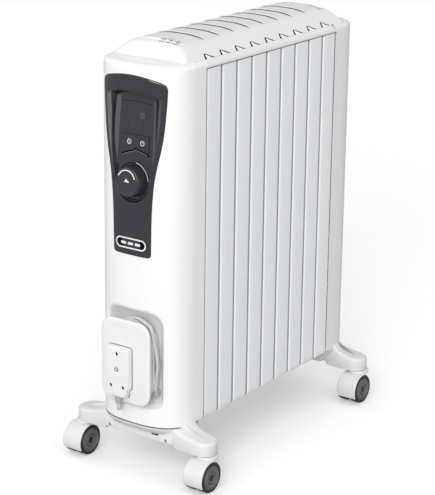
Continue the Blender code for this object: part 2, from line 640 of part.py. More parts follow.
# ---------------------------------------------------------------- feet and casters
def foot(name, mirror):
    """Winged foot under one end cover: flared body, two arms and the casters' sockets."""
    plan_y = -FOOT_Y
    top = end_outline(0.0012, 0.1860, 12)
    middle = end_outline(0.0060, 0.1880, 12)
    low = [(x * 0.90, max(y, -FOOT_Y - FOOT_HALF_DEPTH)) for x, y in end_outline(0.0160, 0.1960, 12)]
    body = loft(name, [[(x, y, z) for x, y in ring] for ring, z in
                       ((low, FOOT_BOTTOM), (middle, 0.0740), (top, 0.0845), (top, FIN_BOTTOM - GAP))],
                "white_plastic")
    arm = rounded_rectangle(FOOT_TIP_X, FOOT_HALF_DEPTH, FOOT_HALF_DEPTH - 0.0005, (0, plan_y), 6)
    arm_top = rounded_rectangle(FOOT_TIP_X - 0.003, FOOT_HALF_DEPTH - 0.003, FOOT_HALF_DEPTH - 0.004,
                                (0, plan_y), 6)
    arms = loft(name + "_arms", [[(x, y, z) for x, y in ring] for ring, z in
                                 ((arm, FOOT_BOTTOM), (arm, 0.0745), (arm_top, 0.0775))])
    fuse(body, arms)
    for side in (-1, 1):
        flare = [(side * x, z) for x, z in FOOT_FLARE]
        label = "%s_flare_%s" % (name, "left" if side < 0 else "right")
        fuse(body, prism_y(label, flare, plan_y - 0.0150, plan_y + 0.0160))
        socket = circle(STEM_RADIUS + RUNNING_CLEARANCE, 16, (side * CASTER_X, -CASTER_Y))
        cut(body, prism_z("%s_socket_%s" % (name, "left" if side < 0 else "right"), socket, 0.040, 0.0700))
    if mirror:
        for piece in [body] + [step.object for step in body.modifiers]:
            piece.rotation_euler.z = math.pi
    return body


def feet():
    front = foot("front_foot", False)
    foot("rear_foot", True)
    seat = [(-0.066, -0.2600), (0.066, -0.2600), (0.066, -0.2360), (-0.066, -0.2360)]
    cut(front, prism_z("front_foot_seat", seat, FOOT_BOTTOM - 0.005, 0.0735))
    plate = [(-0.0657, -0.2440), (-0.0560, -0.2450), (0.0560, -0.2450), (0.0657, -0.2440),
             (0.0657, -0.2363), (-0.0657, -0.2363)]
    bar = prism_z("foot_crossbar", plate, FOOT_BOTTOM, 0.0732, "white_plastic")
    for name, x in (("crossbar_screw_left", -0.055), ("crossbar_screw_right", 0.055)):
        cut(bar, cylinder_y(name + "_hole", 0.0030, -0.26, -0.2410, (x, 0.0640), 12))
        cylinder_y(name, 0.0027, -0.2455, -0.2413, (x, 0.0640), 12, "zinc_steel")


def caster(tag, x, y):
    """Swivelling twin-wheel caster; at rest its wheels trail towards the front."""
    swivel = empty("%s_caster_axis" % tag, (x, y, 0), HEATER)
    axle_y = -CASTER_TRAIL
    hub = empty("%s_axle_centre" % tag, (0, axle_y, WHEEL_RADIUS), swivel)
    spread, steps = math.radians(85), 9
    angles = [spread * (2 * i / steps - 1) for i in range(steps + 1)]
    outer = [(HOOD_RADIUS * math.sin(angle), HOOD_RADIUS * math.cos(angle)) for angle in angles]
    shrink = (WHEEL_RADIUS + 0.0007) / HOOD_RADIUS
    sector = outer + [(a * shrink, b * shrink) for a, b in reversed(outer)]
    rings = [[(w, a, b) for a, b in sector] for w in (-HOOD_HALF_WIDTH, HOOD_HALF_WIDTH)]
    hood = loft("%s_caster_hood" % tag, rings, "white_plastic", hub)
    web = [(r * math.cos(t), r * math.sin(t)) for r, t in
           [(0.0254, math.radians(a)) for a in range(20, 211, 19)]]
    web += [(-0.0060, -0.0100), (0.0, -0.0120), (0.0060, -0.0100)]
    web_rings = [[(w, a, b) for a, b in web] for w in (-0.0026, 0.0026)]
    fuse(hood, loft("%s_caster_web" % tag, web_rings, None, hub))
    boss = [(0.0060, 0.0060), (0.0085, 0.0150), (0.0085, FOOT_BOTTOM - WHEEL_RADIUS - GAP)]
    boss_rings = [[(u, v + CASTER_TRAIL, z) for u, v in circle(r, 14)] for r, z in boss]
    for ring in boss_rings:
        for i, (u, v, z) in enumerate(ring):
            ring[i] = (max(-0.0026, min(0.0026, u)) if z < 0.010 else u, v, z)
    fuse(hood, loft("%s_caster_boss" % tag, boss_rings, None, hub))
    stem = [[(u, v + CASTER_TRAIL, z) for u, v in circle(STEM_RADIUS, 16)] for z in (0.0280, 0.0440)]
    fuse(hood, loft("%s_caster_stem" % tag, stem, None, hub))
    for side in (-1, 1):
        room = WHEEL_RADIUS + 0.0006
        pocket = [(side * WHEEL_INNER * 0.90, room), (side * 0.030, room)]
        cut(hood, turned_x("%s_caster_clearance_%d" % (tag, side), pocket, 20, None, hub))
    cut(hood, turned_x("%s_caster_bore" % tag, [(-0.006, WHEEL_BORE), (0.006, WHEEL_BORE)], 12, None, hub))
    axle = [(-0.0150, AXLE_RADIUS), (0.0150, AXLE_RADIUS)]
    turned_x("%s_caster_axle" % tag, axle, 10, "zinc_steel", hub)
    for side, label in ((-1, "left"), (1, "right")):
        profile = [(WHEEL_INNER, 0.0225), (WHEEL_INNER + 0.0014, WHEEL_RADIUS),
                   (WHEEL_OUTER - 0.0016, WHEEL_RADIUS), (WHEEL_OUTER, 0.0222)]
        wheel = turned_x("%s_caster_wheel_%s" % (tag, label), [(side * w, r) for w, r in profile], 20,
                         "wheel_rubber", hub)
        bore = [(side * (WHEEL_INNER - 0.001), WHEEL_BORE), (side * 0.0153, WHEEL_BORE)]
        cut(wheel, turned_x("%s_caster_wheel_bore_%s" % (tag, label), bore, 12, None, hub))


def casters():
    for tag, x, y in (("front_left", -CASTER_X, -CASTER_Y), ("front_right", CASTER_X, -CASTER_Y),
                      ("rear_left", -CASTER_X, CASTER_Y), ("rear_right", CASTER_X, CASTER_Y)):
        caster(tag, x, y)


# ---------------------------------------------------------------- build
for old in list(bpy.data.objects):
    bpy.data.objects.remove(old)
HEATER = empty("heater", (0, STACK_SHIFT, 0))
fins()
heating_element()
oil_circuit_ends()
front_cover()
rear_cover()
top_cover()
control_panel()
display_window()
keys()
knob()
badge()
inner_parts()
winder()
cord()
feet()
casters()
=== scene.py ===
import json
from math import atan2, copysign, cos, dist, hypot, pi, radians, sin, sqrt, tan

import bmesh
import bpy
from mathutils import Matrix, Vector


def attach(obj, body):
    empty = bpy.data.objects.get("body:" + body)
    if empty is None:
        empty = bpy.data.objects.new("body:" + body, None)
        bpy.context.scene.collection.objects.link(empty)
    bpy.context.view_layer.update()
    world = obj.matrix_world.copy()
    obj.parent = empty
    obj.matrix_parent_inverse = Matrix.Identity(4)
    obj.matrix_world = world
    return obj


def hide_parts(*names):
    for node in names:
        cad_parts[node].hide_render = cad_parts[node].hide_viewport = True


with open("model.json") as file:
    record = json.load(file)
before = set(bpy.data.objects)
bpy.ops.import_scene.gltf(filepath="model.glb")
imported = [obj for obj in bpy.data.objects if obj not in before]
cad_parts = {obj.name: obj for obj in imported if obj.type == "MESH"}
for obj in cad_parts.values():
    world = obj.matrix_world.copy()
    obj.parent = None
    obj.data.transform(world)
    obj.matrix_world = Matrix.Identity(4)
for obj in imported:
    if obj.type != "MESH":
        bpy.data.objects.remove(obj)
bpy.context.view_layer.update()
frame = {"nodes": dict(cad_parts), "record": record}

# ------------------------------------------------------------------ sizes shared with the CAD, in metres
SHIFT = 0.00725                 # the fin stack's centre lies this far behind the origin
FIN_COUNT = 9
FIN_PITCH = 0.040
FIN_FLANGE = 0.0364
HALF_WIDTH = 0.079
FIN_BOTTOM = 0.088
FIN_TOP = 0.6435
STACK_HALF = 0.180
SEAM = STACK_HALF + 0.0003
BODY_HALF_DEPTH = 0.260
END_DEPTH = 0.060
END_POWER = 2.62
RIM_Z = 0.6475
ROOF_Z = 0.6552
ROOF_FALL = 0.0004                 # how far the roof slopes down towards the end
CAP_HALF_WIDTH = 0.0705
CAP_HALF_LENGTH = 0.2262
CAP_CORNER = 0.0220
CAP_SKIRT = 0.6528                  # lower edge of the cap's rim
CAP_BLEND = 0.0105                  # over how much height the cap's two profiles blend
SLOT_HALF = 0.0477                  # half length of a slot in the cap
SLOT_REACH = 0.0475                 # half length over which its edge is drawn
COVER_WALL = 0.0018
CAP_WALL = 0.0022
COVER_FOOT = 0.0880                 # lower edge of the end covers
PANEL_BOTTOM = 0.361
PANEL_TOP = 0.6378
PANEL_PROUD = 0.0012
THROUGH_FRONT = (-0.30, -0.20)      # span of a cut through the front cover
KNOB_Z = 0.4755
BADGE_Z = 0.3795
FLOOR_TILT = radians(4.5)
FLOOR_DEPTH = 0.007
RECESS_Z = 0.1875
RECESS_TOP = 0.30                # the cord store ends below this
RECESS_FLOOR_Y = -0.2450
WINDER_FRONT_Y = -0.2745
WINDER_Z = 0.191
PLUG_X = -0.0092
CORD_WIDTH = 0.0065
CORD_PER_TURN = 40               # points in one turn round the drum
DRUM_HALF = 0.022                # half of the drum's straight sides
FOOT_BOTTOM = 0.054
CROSSBAR_BOTTOM = 0.0612
FOOT_TIP_X = 0.132
FOOT_Y = 0.222
FOOT_HALF_DEPTH = 0.020
CASTER_X = 0.119
CASTER_Y = 0.223
CASTER_TRAIL = 0.0150
WHEEL_RADIUS = 0.0240
HOOD_RADIUS = 0.0262
HOOD_HALF_WIDTH = 0.0180


# ------------------------------------------------------------------ camera
def added(name, data):
    """New object in the scene."""
    obj = bpy.data.objects.new(name, data)
    bpy.context.scene.collection.objects.link(obj)
    return obj


def make_camera():
    """Camera on the three-quarter view from the front right."""
    data = bpy.data.cameras.new("camera")
    data.sensor_width = 36.0
    data.lens = 131.8
    data.shift_x = -0.0259
    data.shift_y = -0.0279
    data.clip_start, data.clip_end = 0.1, 50.0
    camera = added("camera", data)
    right = Vector((0.818255, 0.574687, 0.013870))
    up = Vector((-0.182591, 0.236948, 0.954210))
    back = Vector((0.545086, -0.783320, 0.298817))
    place = Matrix((right, up, back)).transposed().to_4x4()
    place.translation = Vector((1.602705, -2.295931, 1.208605))
    camera.matrix_world = place
    bpy.context.scene.camera = camera


make_camera()


# ------------------------------------------------------------------ materials
class Nodes:
    """Small helper that adds and links shader nodes."""

    def __init__(self, name):
        self.material = bpy.data.materials.new(name)
        self.material.use_nodes = True
        self.tree = self.material.node_tree
        self.shader = self.tree.nodes["Principled BSDF"]

    def add(self, kind, **values):
        """New node, its inputs or settings filled in."""
        node = self.tree.nodes.new(kind)
        for key, value in values.items():
            if key in node.inputs:
                node.inputs[key].default_value = value
            else:
                setattr(node, key, value)
        return node

    def link(self, source, output, target, socket):
        """Wires one node's output to another's input."""
        self.tree.links.new(source.outputs[output], target.inputs[socket])

    def set(self, **values):
        """Sets inputs of the material's shader."""
        for key, value in values.items():
            self.shader.inputs[key.replace("_", " ")].default_value = value

    def noise(self, scale, detail=3.0, roughness=0.55, stretch=None):
        """Noise in the object's own coordinates."""
        coordinates = self.add("ShaderNodeTexCoord")
        source, output = coordinates, "Object"
        if stretch:
            mapping = self.add("ShaderNodeMapping")
            mapping.inputs["Scale"].default_value = stretch
            self.link(coordinates, "Object", mapping, "Vector")
            source, output = mapping, "Vector"
        texture = self.add("ShaderNodeTexNoise")
        texture.inputs["Scale"].default_value = scale
        texture.inputs["Detail"].default_value = detail
        texture.inputs["Roughness"].default_value = roughness
        self.link(source, output, texture, "Vector")
        return texture

    def ramp(self, source, output, low, high, start=0.0, end=1.0):
        """Maps an output from start and end to low and high."""
        node = self.add("ShaderNodeMapRange")
        node.inputs["From Min"].default_value = start
        node.inputs["From Max"].default_value = end
        node.inputs["To Min"].default_value = low
        node.inputs["To Max"].default_value = high
        self.link(source, output, node, "Value")
        return node

    def colours(self, source, output, low, high):
        """Mix between two colours."""
        node = self.add("ShaderNodeMix", data_type="RGBA")
        node.inputs["A"].default_value = (*low, 1.0)
        node.inputs["B"].default_value = (*high, 1.0)
        self.tree.links.new(source.outputs[output], node.inputs["Factor"])
        self.tree.links.new(node.outputs["Result"], self.shader.inputs["Base Color"])
        return node

    def bump(self, layers):
        """layers: (source, output, strength, distance), from the coarsest to the finest."""
        previous = None
        for source, output, strength, distance in layers:
            node = self.add("ShaderNodeBump")
            node.inputs["Strength"].default_value = strength
            node.inputs["Distance"].default_value = distance
            self.link(source, output, node, "Height")
            if previous:
                self.link(previous, "Normal", node, "Normal")
            previous = node
        self.link(previous, "Normal", self.shader, "Normal")


def moulded(name, colour, roughness, grain=1800.0, depth=0.00003, spread=0.012, coat=0.0, rough_spread=0.05):
    """Moulded plastic: faint mottling, slightly uneven gloss and a fine eroded grain."""
    m = Nodes(name)
    broad = m.noise(9.0, 4.0)
    fine = m.noise(grain, 2.0, 0.6)
    low = [max(0.0, c - spread) for c in colour]
    high = [min(1.0, c + spread) for c in colour]
    m.colours(broad, "Fac", low, high)
    uneven = m.ramp(broad, "Fac", roughness - rough_spread, roughness + rough_spread, 0.3, 0.7)
    m.link(uneven, "Result", m.shader, "Roughness")
    m.bump([(broad, "Fac", 0.15, 0.0004), (fine, "Fac", 0.35, depth)])
    m.set(Coat_Weight=coat, Coat_Roughness=0.08)
    return m.material


def enamel(name, colour):
    """Baked enamel on sheet steel: soft orange peel, long faint waves and a smooth gloss."""
    m = Nodes(name)
    waves = m.noise(22.0, 2.0, 0.5, (1.0, 1.0, 0.12))
    peel = m.noise(420.0, 2.0, 0.5)
    low = [c - 0.010 for c in colour]
    high = [min(1.0, c + 0.010) for c in colour]
    m.colours(waves, "Fac", low, high)
    gloss = m.ramp(peel, "Fac", 0.30, 0.40, 0.3, 0.7)
    m.link(gloss, "Result", m.shader, "Roughness")
    m.bump([(waves, "Fac", 0.12, 0.0010), (peel, "Fac", 0.18, 0.00006)])
    m.set(Coat_Weight=0.15, Coat_Roughness=0.15)
    return m.material


def flex(name, colour):
    """Soft PVC of a flexible lead: matt, with faint lengthwise smears."""
    m = Nodes(name)
    smear = m.noise(160.0, 3.0, 0.6)
    m.colours(smear, "Fac", [c * 0.93 for c in colour], [min(1.0, c * 1.05) for c in colour])
    soft = m.ramp(smear, "Fac", 0.46, 0.62)
    m.link(soft, "Result", m.shader, "Roughness")
    m.bump([(smear, "Fac", 0.25, 0.0001)])
    m.set(Subsurface_Weight=0.05, Subsurface_Scale=0.002)
    return m.material


def plated(name, colour):
    """Zinc plated steel with a light brushed streak."""
    m = Nodes(name)
    streak = m.noise(90.0, 3.0, 0.6, (1.0, 14.0, 1.0))
    m.colours(streak, "Fac", [c * 0.85 for c in colour], colour)
    rough = m.ramp(streak, "Fac", 0.28, 0.45)
    m.link(rough, "Result", m.shader, "Roughness")
    m.set(Metallic=1.0)
    m.bump([(streak, "Fac", 0.2, 0.00005)])
    return m.material


def tyre(name, colour):
    """Dark nylon wheel, scuffed in small patches."""
    m = Nodes(name)
    scuff = m.noise(75.0, 5.0, 0.7)
    fine = m.noise(900.0, 2.0)
    m.colours(scuff, "Fac", [c * 0.75 for c in colour], [c * 1.5 for c in colour])
    rough = m.ramp(scuff, "Fac", 0.38, 0.62, 0.3, 0.7)
    m.link(rough, "Result", m.shader, "Roughness")
    m.bump([(scuff, "Fac", 0.2, 0.0002), (fine, "Fac", 0.3, 0.00003)])
    return m.material


WHITE = moulded("white_plastic", (0.86, 0.86, 0.865), 0.34, coat=0.10)
CAP_WHITE = moulded("cap_white", (0.79, 0.79, 0.80), 0.36, coat=0.10)
# painted shade: a darker satin copy of the white plastic, for the rear cover, the cord plate and the plug
WHITE_SATIN_PAINTED_SHADE = moulded("white_satin_painted_shade", (0.78, 0.78, 0.788), 0.42, coat=0.05)
ENAMEL = enamel("white_enamel", (0.84, 0.85, 0.87))
CHARCOAL = moulded("dark_plastic", (0.026, 0.026, 0.036), 0.32, spread=0.004, coat=0.10)
# painted highlight: a lighter copy of the dark plastic for the strips beside the lens
CHARCOAL_PAINTED_HIGHLIGHT = moulded("dark_plastic_painted_highlight", (0.075, 0.075, 0.086), 0.36, spread=0.005, coat=0.10)
LENS = moulded("smoked_lens", (0.025, 0.025, 0.031), 0.14, depth=0.000004, spread=0.003, coat=0.6,
               rough_spread=0.02)
GLOSS = moulded("dark_plastic_gloss", (0.030, 0.030, 0.036), 0.16, depth=0.000005, spread=0.003, coat=0.5)
# painted shade: a darker copy of the white plastic for the feet, crossbar and caster hoods, standing in for
# the dimmer light low down
FOOT_WHITE_PAINTED_SHADE = moulded("foot_white_painted_shade", (0.72, 0.72, 0.723), 0.40, coat=0.03)
# painted shade: two darker copies of the white plastic for the cord store's scoop
RECESS_PAINTED_SHADE = moulded("recess_painted_shade", (0.61, 0.61, 0.625), 0.45, coat=0.0)
RECESS_EDGE_PAINTED_SHADE = moulded("recess_edge_painted_shade", (0.72, 0.72, 0.735), 0.42, coat=0.0)
# painted highlight: a lighter copy of the dark plastic for the frame's bevel beside the lens
BEVEL_PAINTED_HIGHLIGHT = moulded("bevel_painted_highlight", (0.125, 0.125, 0.138), 0.34, spread=0.005)
# painted highlight: pale grey strip along the keys' lower edge
KEY_EDGE_PAINTED_HIGHLIGHT = moulded("key_edge_painted_highlight", (0.16, 0.16, 0.175), 0.30, spread=0.004)
# painted highlight: pale grey strips on the panel's upper edge and the knob's seat ring
PAINTED_GLINT = moulded("painted_glint", (0.42, 0.42, 0.45), 0.25, spread=0.004)
# grey print, and also painted shade in gaps, slots and the screw recesses, under the grip ribs and round the
# plug's base
PRINT_GREY_AND_SHADE = moulded("grey_print_and_painted_shade", (0.14, 0.14, 0.15), 0.5, spread=0.01)
# painted shade: mid grey strips in the gaps between the fins
JOINT_PAINTED_SHADE = moulded("joint_painted_shade", (0.30, 0.305, 0.315), 0.5, spread=0.01)
# near black for the badge plate and the display's border line, and also painted shade in the keys' parting
# line, the vents, the plug's holes and the crossbar's slot
NEAR_BLACK_AND_SHADE = moulded("near_black_and_painted_shade", (0.005, 0.005, 0.006), 0.80, spread=0.002)
PRINT = moulded("white_print", (0.80, 0.80, 0.80), 0.45, spread=0.01)
PRINT_FAINT = moulded("faint_print", (0.060, 0.061, 0.068), 0.30, spread=0.003)
CORD = flex("grey_cord", (0.58, 0.585, 0.59))
RELIEF = flex("grey_relief", (0.40, 0.40, 0.41))
WHEEL = tyre("wheel_nylon", (0.016, 0.016, 0.017))
WHEEL_FACE = tyre("wheel_face", (0.115, 0.115, 0.117))
ZINC = plated("zinc_steel", (0.60, 0.60, 0.58))
BOARD = moulded("circuit_board", (0.030, 0.120, 0.055), 0.45, spread=0.008)
# black bakelite of the CAD parts, and also painted shade in the shoulder vents and under the roof slots
BLACK = moulded("black_bakelite", (0.020, 0.020, 0.021), 0.45, spread=0.003)

# the two materials that also paint shade reflect almost nothing, so their painted shade stays dark
for dull in (NEAR_BLACK_AND_SHADE, PRINT_GREY_AND_SHADE):
    for node in dull.node_tree.nodes:
        if node.type == "BSDF_PRINCIPLED":
            node.inputs["Specular IOR Level"].default_value = 0.05


# ------------------------------------------------------------------ mesh helpers
def piece(name, points, faces, finish, body="heater", sharp=35.0, place=None, slot=None):
    """Mesh object riding on a body. Points are in the fin stack's frame, or in place's."""
    mesh = bpy.data.meshes.new(name)
    mesh.from_pydata([tuple(p) for p in points], [], [tuple(f) for f in faces])
    mesh.transform(place if place else Matrix.Translation((0, SHIFT, 0)))
    work = bmesh.new()
    work.from_mesh(mesh)
    bmesh.ops.recalc_face_normals(work, faces=work.faces)
    work.to_mesh(mesh)
    work.free()
    obj = added(name, mesh)
    if finish:
        mesh.materials.append(finish)
        smooth(obj, sharp)
    if body:
        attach(obj, body)
    return obj


def smooth(obj, sharp=35.0):
    """Smooth shading that keeps edges sharper than the angle."""
    obj.data.shade_smooth()
    obj.data.set_sharp_from_angle(angle=radians(sharp))


def grid_faces(rows, columns, closed=False, start=0):
    """Quads of a grid of points, row by row."""
    faces = []
    span = columns if closed else columns - 1
    for r in range(rows - 1):
        for c in range(span):
            d = (c + 1) % columns
            a, b = start + r * columns, start + (r + 1) * columns
            faces.append((a + c, a + d, b + d, b + c))
    return faces


def rings_mesh(rings):
    """Points and faces of a capped tube through equal closed rings."""
    count = len(rings[0])
    last = (len(rings) - 1) * count
    faces = grid_faces(len(rings), count, True)
    faces += [tuple(reversed(range(count))), tuple(range(last, last + count))]
    return [p for ring in rings for p in ring], faces


def hoop(rings):
    """Points and faces of a band through equal closed rings, with the last joined to the first."""
    count = len(rings[0])
    last = (len(rings) - 1) * count
    faces = grid_faces(len(rings), count, True)
    faces += [(last + i, last + (i + 1) % count, (i + 1) % count, i) for i in range(count)]
    return [p for ring in rings for p in ring], faces


def circle(u, v, radius, count):
    """Points of a circle, in order."""
    turns = [2 * pi * i / count for i in range(count)]
    return [(u + radius * cos(a), v + radius * sin(a)) for a in turns]


def lathe(profile, segments=64, axis="Z"):
    """Points and faces of a profile of (radius, height), turned; a radius of 0 closes an end."""
    rings = []
    for radius, height in profile:
        ring = circle(0, 0, max(radius, 0.00002), segments)
        rings.append([(u, v, height) if axis == "Z" else (height, u, v) for u, v in ring])
    return rings_mesh(rings)


def rounded(half_u, half_v, radius, centre=(0.0, 0.0), steps=8):
    """Rounded rectangle, as a closed outline."""
    points = []
    for quarter, (su, sv) in enumerate(((1, 1), (-1, 1), (-1, -1), (1, -1))):
        cu, cv = su * (half_u - radius), sv * (half_v - radius)
        for step in range(steps + 1):
            angle = pi / 2 * (quarter + step / steps)
            points.append((centre[0] + cu + radius * cos(angle), centre[1] + cv + radius * sin(angle)))
    return points


def apply_modifiers(obj):
    """Bakes the modifiers into the mesh."""
    graph = bpy.context.evaluated_depsgraph_get()
    graph.update()
    mesh = bpy.data.meshes.new_from_object(obj.evaluated_get(graph))
    old = obj.data
    obj.modifiers.clear()
    obj.data = mesh
    bpy.data.meshes.remove(old)


def boolean(obj, tools, operation="DIFFERENCE"):
    """Cuts or joins loose closed tools, each a (points, faces) pair in the stack's frame or an object."""
    for tool in tools:
        other = tool
        if not isinstance(tool, bpy.types.Object):
            other = piece("tool", tool[0], tool[1], None, body=None)
        step = obj.modifiers.new("boolean", "BOOLEAN")
        step.operation = operation
        step.solver = "MANIFOLD"
        step.object = other
        apply_modifiers(obj)
        bpy.data.objects.remove(other)
    return obj


def tool_prism(outline, low, high, axis="Y"):
    """Straight prism between two places along an axis."""
    def put(u, v, w):
        """Point with u and v across the axis and w along it."""
        return {"Y": (u, w, v), "Z": (u, v, w), "X": (w, u, v)}[axis]
    return rings_mesh([[put(u, v, w) for u, v in outline] for w in (low, high)])


def merged(tools):
    """Several meshes as one."""
    points, faces = [], []
    for p, f in tools:
        start = len(points)
        points += list(p)
        faces += [tuple(i + start for i in face) for face in f]
    return points, faces


def solidify(obj, thickness):
    """Gives an open skin a wall on its inner side."""
    step = obj.modifiers.new("wall", "SOLIDIFY")
    step.thickness = thickness
    step.offset = -1.0
    step.use_rim = True
    step.use_even_offset = False
    apply_modifiers(obj)


def remesh(obj, voxel, smoothing):
    """Rebuilds a joined body as one skin and softens its inner corners."""
    step = obj.modifiers.new("remesh", "REMESH")
    step.mode = "VOXEL"
    step.voxel_size = voxel
    step.use_smooth_shade = True
    soften = obj.modifiers.new("soften", "SMOOTH")
    soften.factor = 0.5
    soften.iterations = smoothing
    apply_modifiers(obj)
    obj.data.shade_smooth()


def ease(t):
    """Smooth step from 0 to 1."""
    t = max(0.0, min(1.0, t))
    return t * t * (3 - 2 * t)


def table(x, rows):
    """Smooth monotone interpolation in rows of (x, y)."""
    if x <= rows[0][0]:
        return rows[0][1]
    if x >= rows[-1][0]:
        return rows[-1][1]
    k = max(i for i in range(len(rows) - 1) if rows[i][0] <= x)
    slopes = [(rows[i + 1][1] - rows[i][1]) / (rows[i + 1][0] - rows[i][0]) for i in range(len(rows) - 1)]

    def tangent(i):
        """Slope of the curve at row i."""
        if i == 0:
            return slopes[0]
        if i == len(rows) - 1:
            return slopes[-1]
        a, b = slopes[i - 1], slopes[i]
        return 0.0 if a * b <= 0 else 2 * a * b / (a + b)
    width = rows[k + 1][0] - rows[k][0]
    t = (x - rows[k][0]) / width
    h00, h10 = 2 * t ** 3 - 3 * t ** 2 + 1, t ** 3 - 2 * t ** 2 + t
    h01, h11 = -2 * t ** 3 + 3 * t ** 2, t ** 3 - t ** 2
    return h00 * rows[k][1] + h10 * width * tangent(k) + h01 * rows[k + 1][1] + h11 * width * tangent(k + 1)


def resampled(points, count):
    """The open polyline again, with count points evenly spaced along it."""
    lengths = [0.0]
    for a, b in zip(points, points[1:]):
        lengths.append(lengths[-1] + dist(a, b))
    result, k = [], 0
    for i in range(count):
        want = lengths[-1] * i / (count - 1)
        while k < len(points) - 2 and lengths[k + 1] < want:
            k += 1
        t = (want - lengths[k]) / max(1e-9, lengths[k + 1] - lengths[k])
        result.append(tuple(a + (b - a) * t for a, b in zip(points[k], points[k + 1])))
    return result


# ------------------------------------------------------------------ outlines
def end_outline(inset, count=161):
    """Front cover's plan from its +X seam round the end to its -X seam, evenly spaced."""
    a, b = HALF_WIDTH - inset, END_DEPTH - inset
    start = BODY_HALF_DEPTH - END_DEPTH
    points = [(a, -SEAM)]
    for i in range(401):
        angle = pi * i / 400
        c, s = cos(angle), sin(angle)
        x = a * copysign(abs(c) ** (2 / END_POWER), c)
        points.append((x, -start - b * abs(s) ** (2 / END_POWER)))
    points.append((-a, -SEAM))
    return resampled(points, count)


def face_y(x, proud=0.0):
    """Front cover's face at x, proud of it by a distance."""
    a, b = HALF_WIDTH + proud, END_DEPTH + proud
    share = min(1.0, abs(x) / a)
    return -(BODY_HALF_DEPTH - END_DEPTH) - b * (1 - share ** END_POWER) ** (1 / END_POWER)


def cap_outline(count=161):
    """Where the cover's roof meets the top cover, over the same span."""
    radius, half, length = CAP_CORNER, CAP_HALF_WIDTH + 0.0004, CAP_HALF_LENGTH + 0.0004
    points = [(half, -SEAM)]
    for i in range(13):
        angle = pi / 2 * i / 12
        points.append((half - radius + radius * cos(angle), -length + radius - radius * sin(angle)))
    points += [(-x, y) for x, y in reversed(points)]
    return resampled(points, count)


def box_distance(x, z, half_x, half_z, radius, centre_z):
    """Signed distance to a rounded rectangle, positive inside."""
    qx, qz = abs(x) - half_x + radius, abs(z - centre_z) - half_z + radius
    outside = hypot(max(qx, 0.0), max(qz, 0.0)) + min(max(qx, qz), 0.0) - radius
    return -outside


def recess_depth(x, z):
    """How far the cord store's scooped wall lies behind the cover's own face."""
    inside = box_distance(x, z, 0.0560, 0.0925, 0.0280, RECESS_Z - 0.0010)
    shallow = (max(0.0, z - 0.2440) / 0.0350) ** 1.6
    share = ease((inside + 0.0010) / 0.0110) * ease((z - 0.1080) / 0.0340) * (1 - shallow)
    if share <= 0.0:
        return 0.0
    return share * (RECESS_FLOOR_Y - face_y(x))


# ------------------------------------------------------------------ end covers
def cover_surface(recess):
    """Grid of the cover's outer skin: rows up the wall, over the rim and in to the top cover."""
    levels = [COVER_FOOT + 0.0015 * i for i in range(1, 134)] if recess else []
    z = levels[-1] if levels else 0.0895
    while z < RIM_Z - 0.003:
        z += 0.0040
        levels.append(min(z, RIM_Z))
    if levels[-1] < RIM_Z:
        levels.append(RIM_Z)
    rows = [end_outline(0.0028), end_outline(0.0012), end_outline(0.0004)]
    heights = [COVER_FOOT, COVER_FOOT + 0.0001, COVER_FOOT + 0.0007]
    plain = end_outline(0.0)
    for z in levels:
        rows.append(plain)
        heights.append(z)
    falls = [0.0] * len(rows)
    for inset, z, fall in ((0.0002, 0.6490, 0.1), (0.0009, 0.6506, 0.3), (0.0020, 0.6520, 0.6),
                           (0.0036, 0.6532, 0.85), (0.0056, 0.6541, 1.0), (0.0075, 0.6547, 1.0)):
        rows.append(end_outline(inset))
        heights.append(z)
        falls.append(fall)
    inner, outer = cap_outline(), end_outline(0.0080)
    for i in range(1, 9):
        t = i / 8
        rows.append([(a[0] + (b[0] - a[0]) * t, a[1] + (b[1] - a[1]) * t) for a, b in zip(outer, inner)])
        heights.append(0.6548 + (ROOF_Z - 0.6548) * t)
        falls.append((1 - t) ** 0.7)
    rows += [inner, inner]
    heights += [ROOF_Z - 0.0010, ROOF_Z - 0.0040]
    falls += [0.0, 0.0]
    points = []
    for row, z, fall in zip(rows, heights, falls):
        for x, y in row:
            scoop = recess_depth(x, z) if recess and z < RECESS_TOP and y < -0.24 else 0.0
            points.append((x, y + scoop, z - ROOF_FALL * fall * ease((-y - 0.1900) / 0.0450)))
    return points, grid_faces(len(rows), len(plain))


def front_cover():
    """Front cover with its scooped cord store, cut out behind the panel; the scoop's faces are coloured
    darker with depth, as painted shade.
    """
    points, faces = cover_surface(True)
    cover = piece("front_cover_shell", points, faces, WHITE, slot="white_plastic")
    cover.data.materials.append(RECESS_EDGE_PAINTED_SHADE)
    cover.data.materials.append(RECESS_PAINTED_SHADE)
    # painted shade: the deeper a face lies in the scoop, the darker the copy of the white plastic it takes
    for polygon in cover.data.polygons:
        x, y, z = polygon.center
        if y < -0.2 and z < RECESS_TOP:
            depth = recess_depth(x, z)
            polygon.material_index = 2 if depth > 0.0055 else 1 if depth > 0.0022 else 0
    solidify(cover, COVER_WALL)
    boolean(cover, [tool_prism(panel_outline(0.0003), *THROUGH_FRONT)])
    smooth(cover, 40)
    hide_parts("front_cover")


def rear_cover():
    """The same cover turned round, with five vent slots, in a darker copy of the white plastic that paints
    its shade.
    """
    points, faces = cover_surface(False)
    turn = Matrix.Translation((0, SHIFT, 0)) @ Matrix.Rotation(pi, 4, "Z")
    cover = piece("rear_cover_shell", points, faces, WHITE_SATIN_PAINTED_SHADE, place=turn, slot="white_plastic")
    solidify(cover, COVER_WALL)
    slots = [tool_prism(rounded(0.030, 0.0025, 0.0024, (0, 0.180 + 0.030 * level), 6), 0.20, 0.30)
             for level in range(5)]
    boolean(cover, [merged(slots)])
    smooth(cover, 40)
    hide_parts("rear_cover")


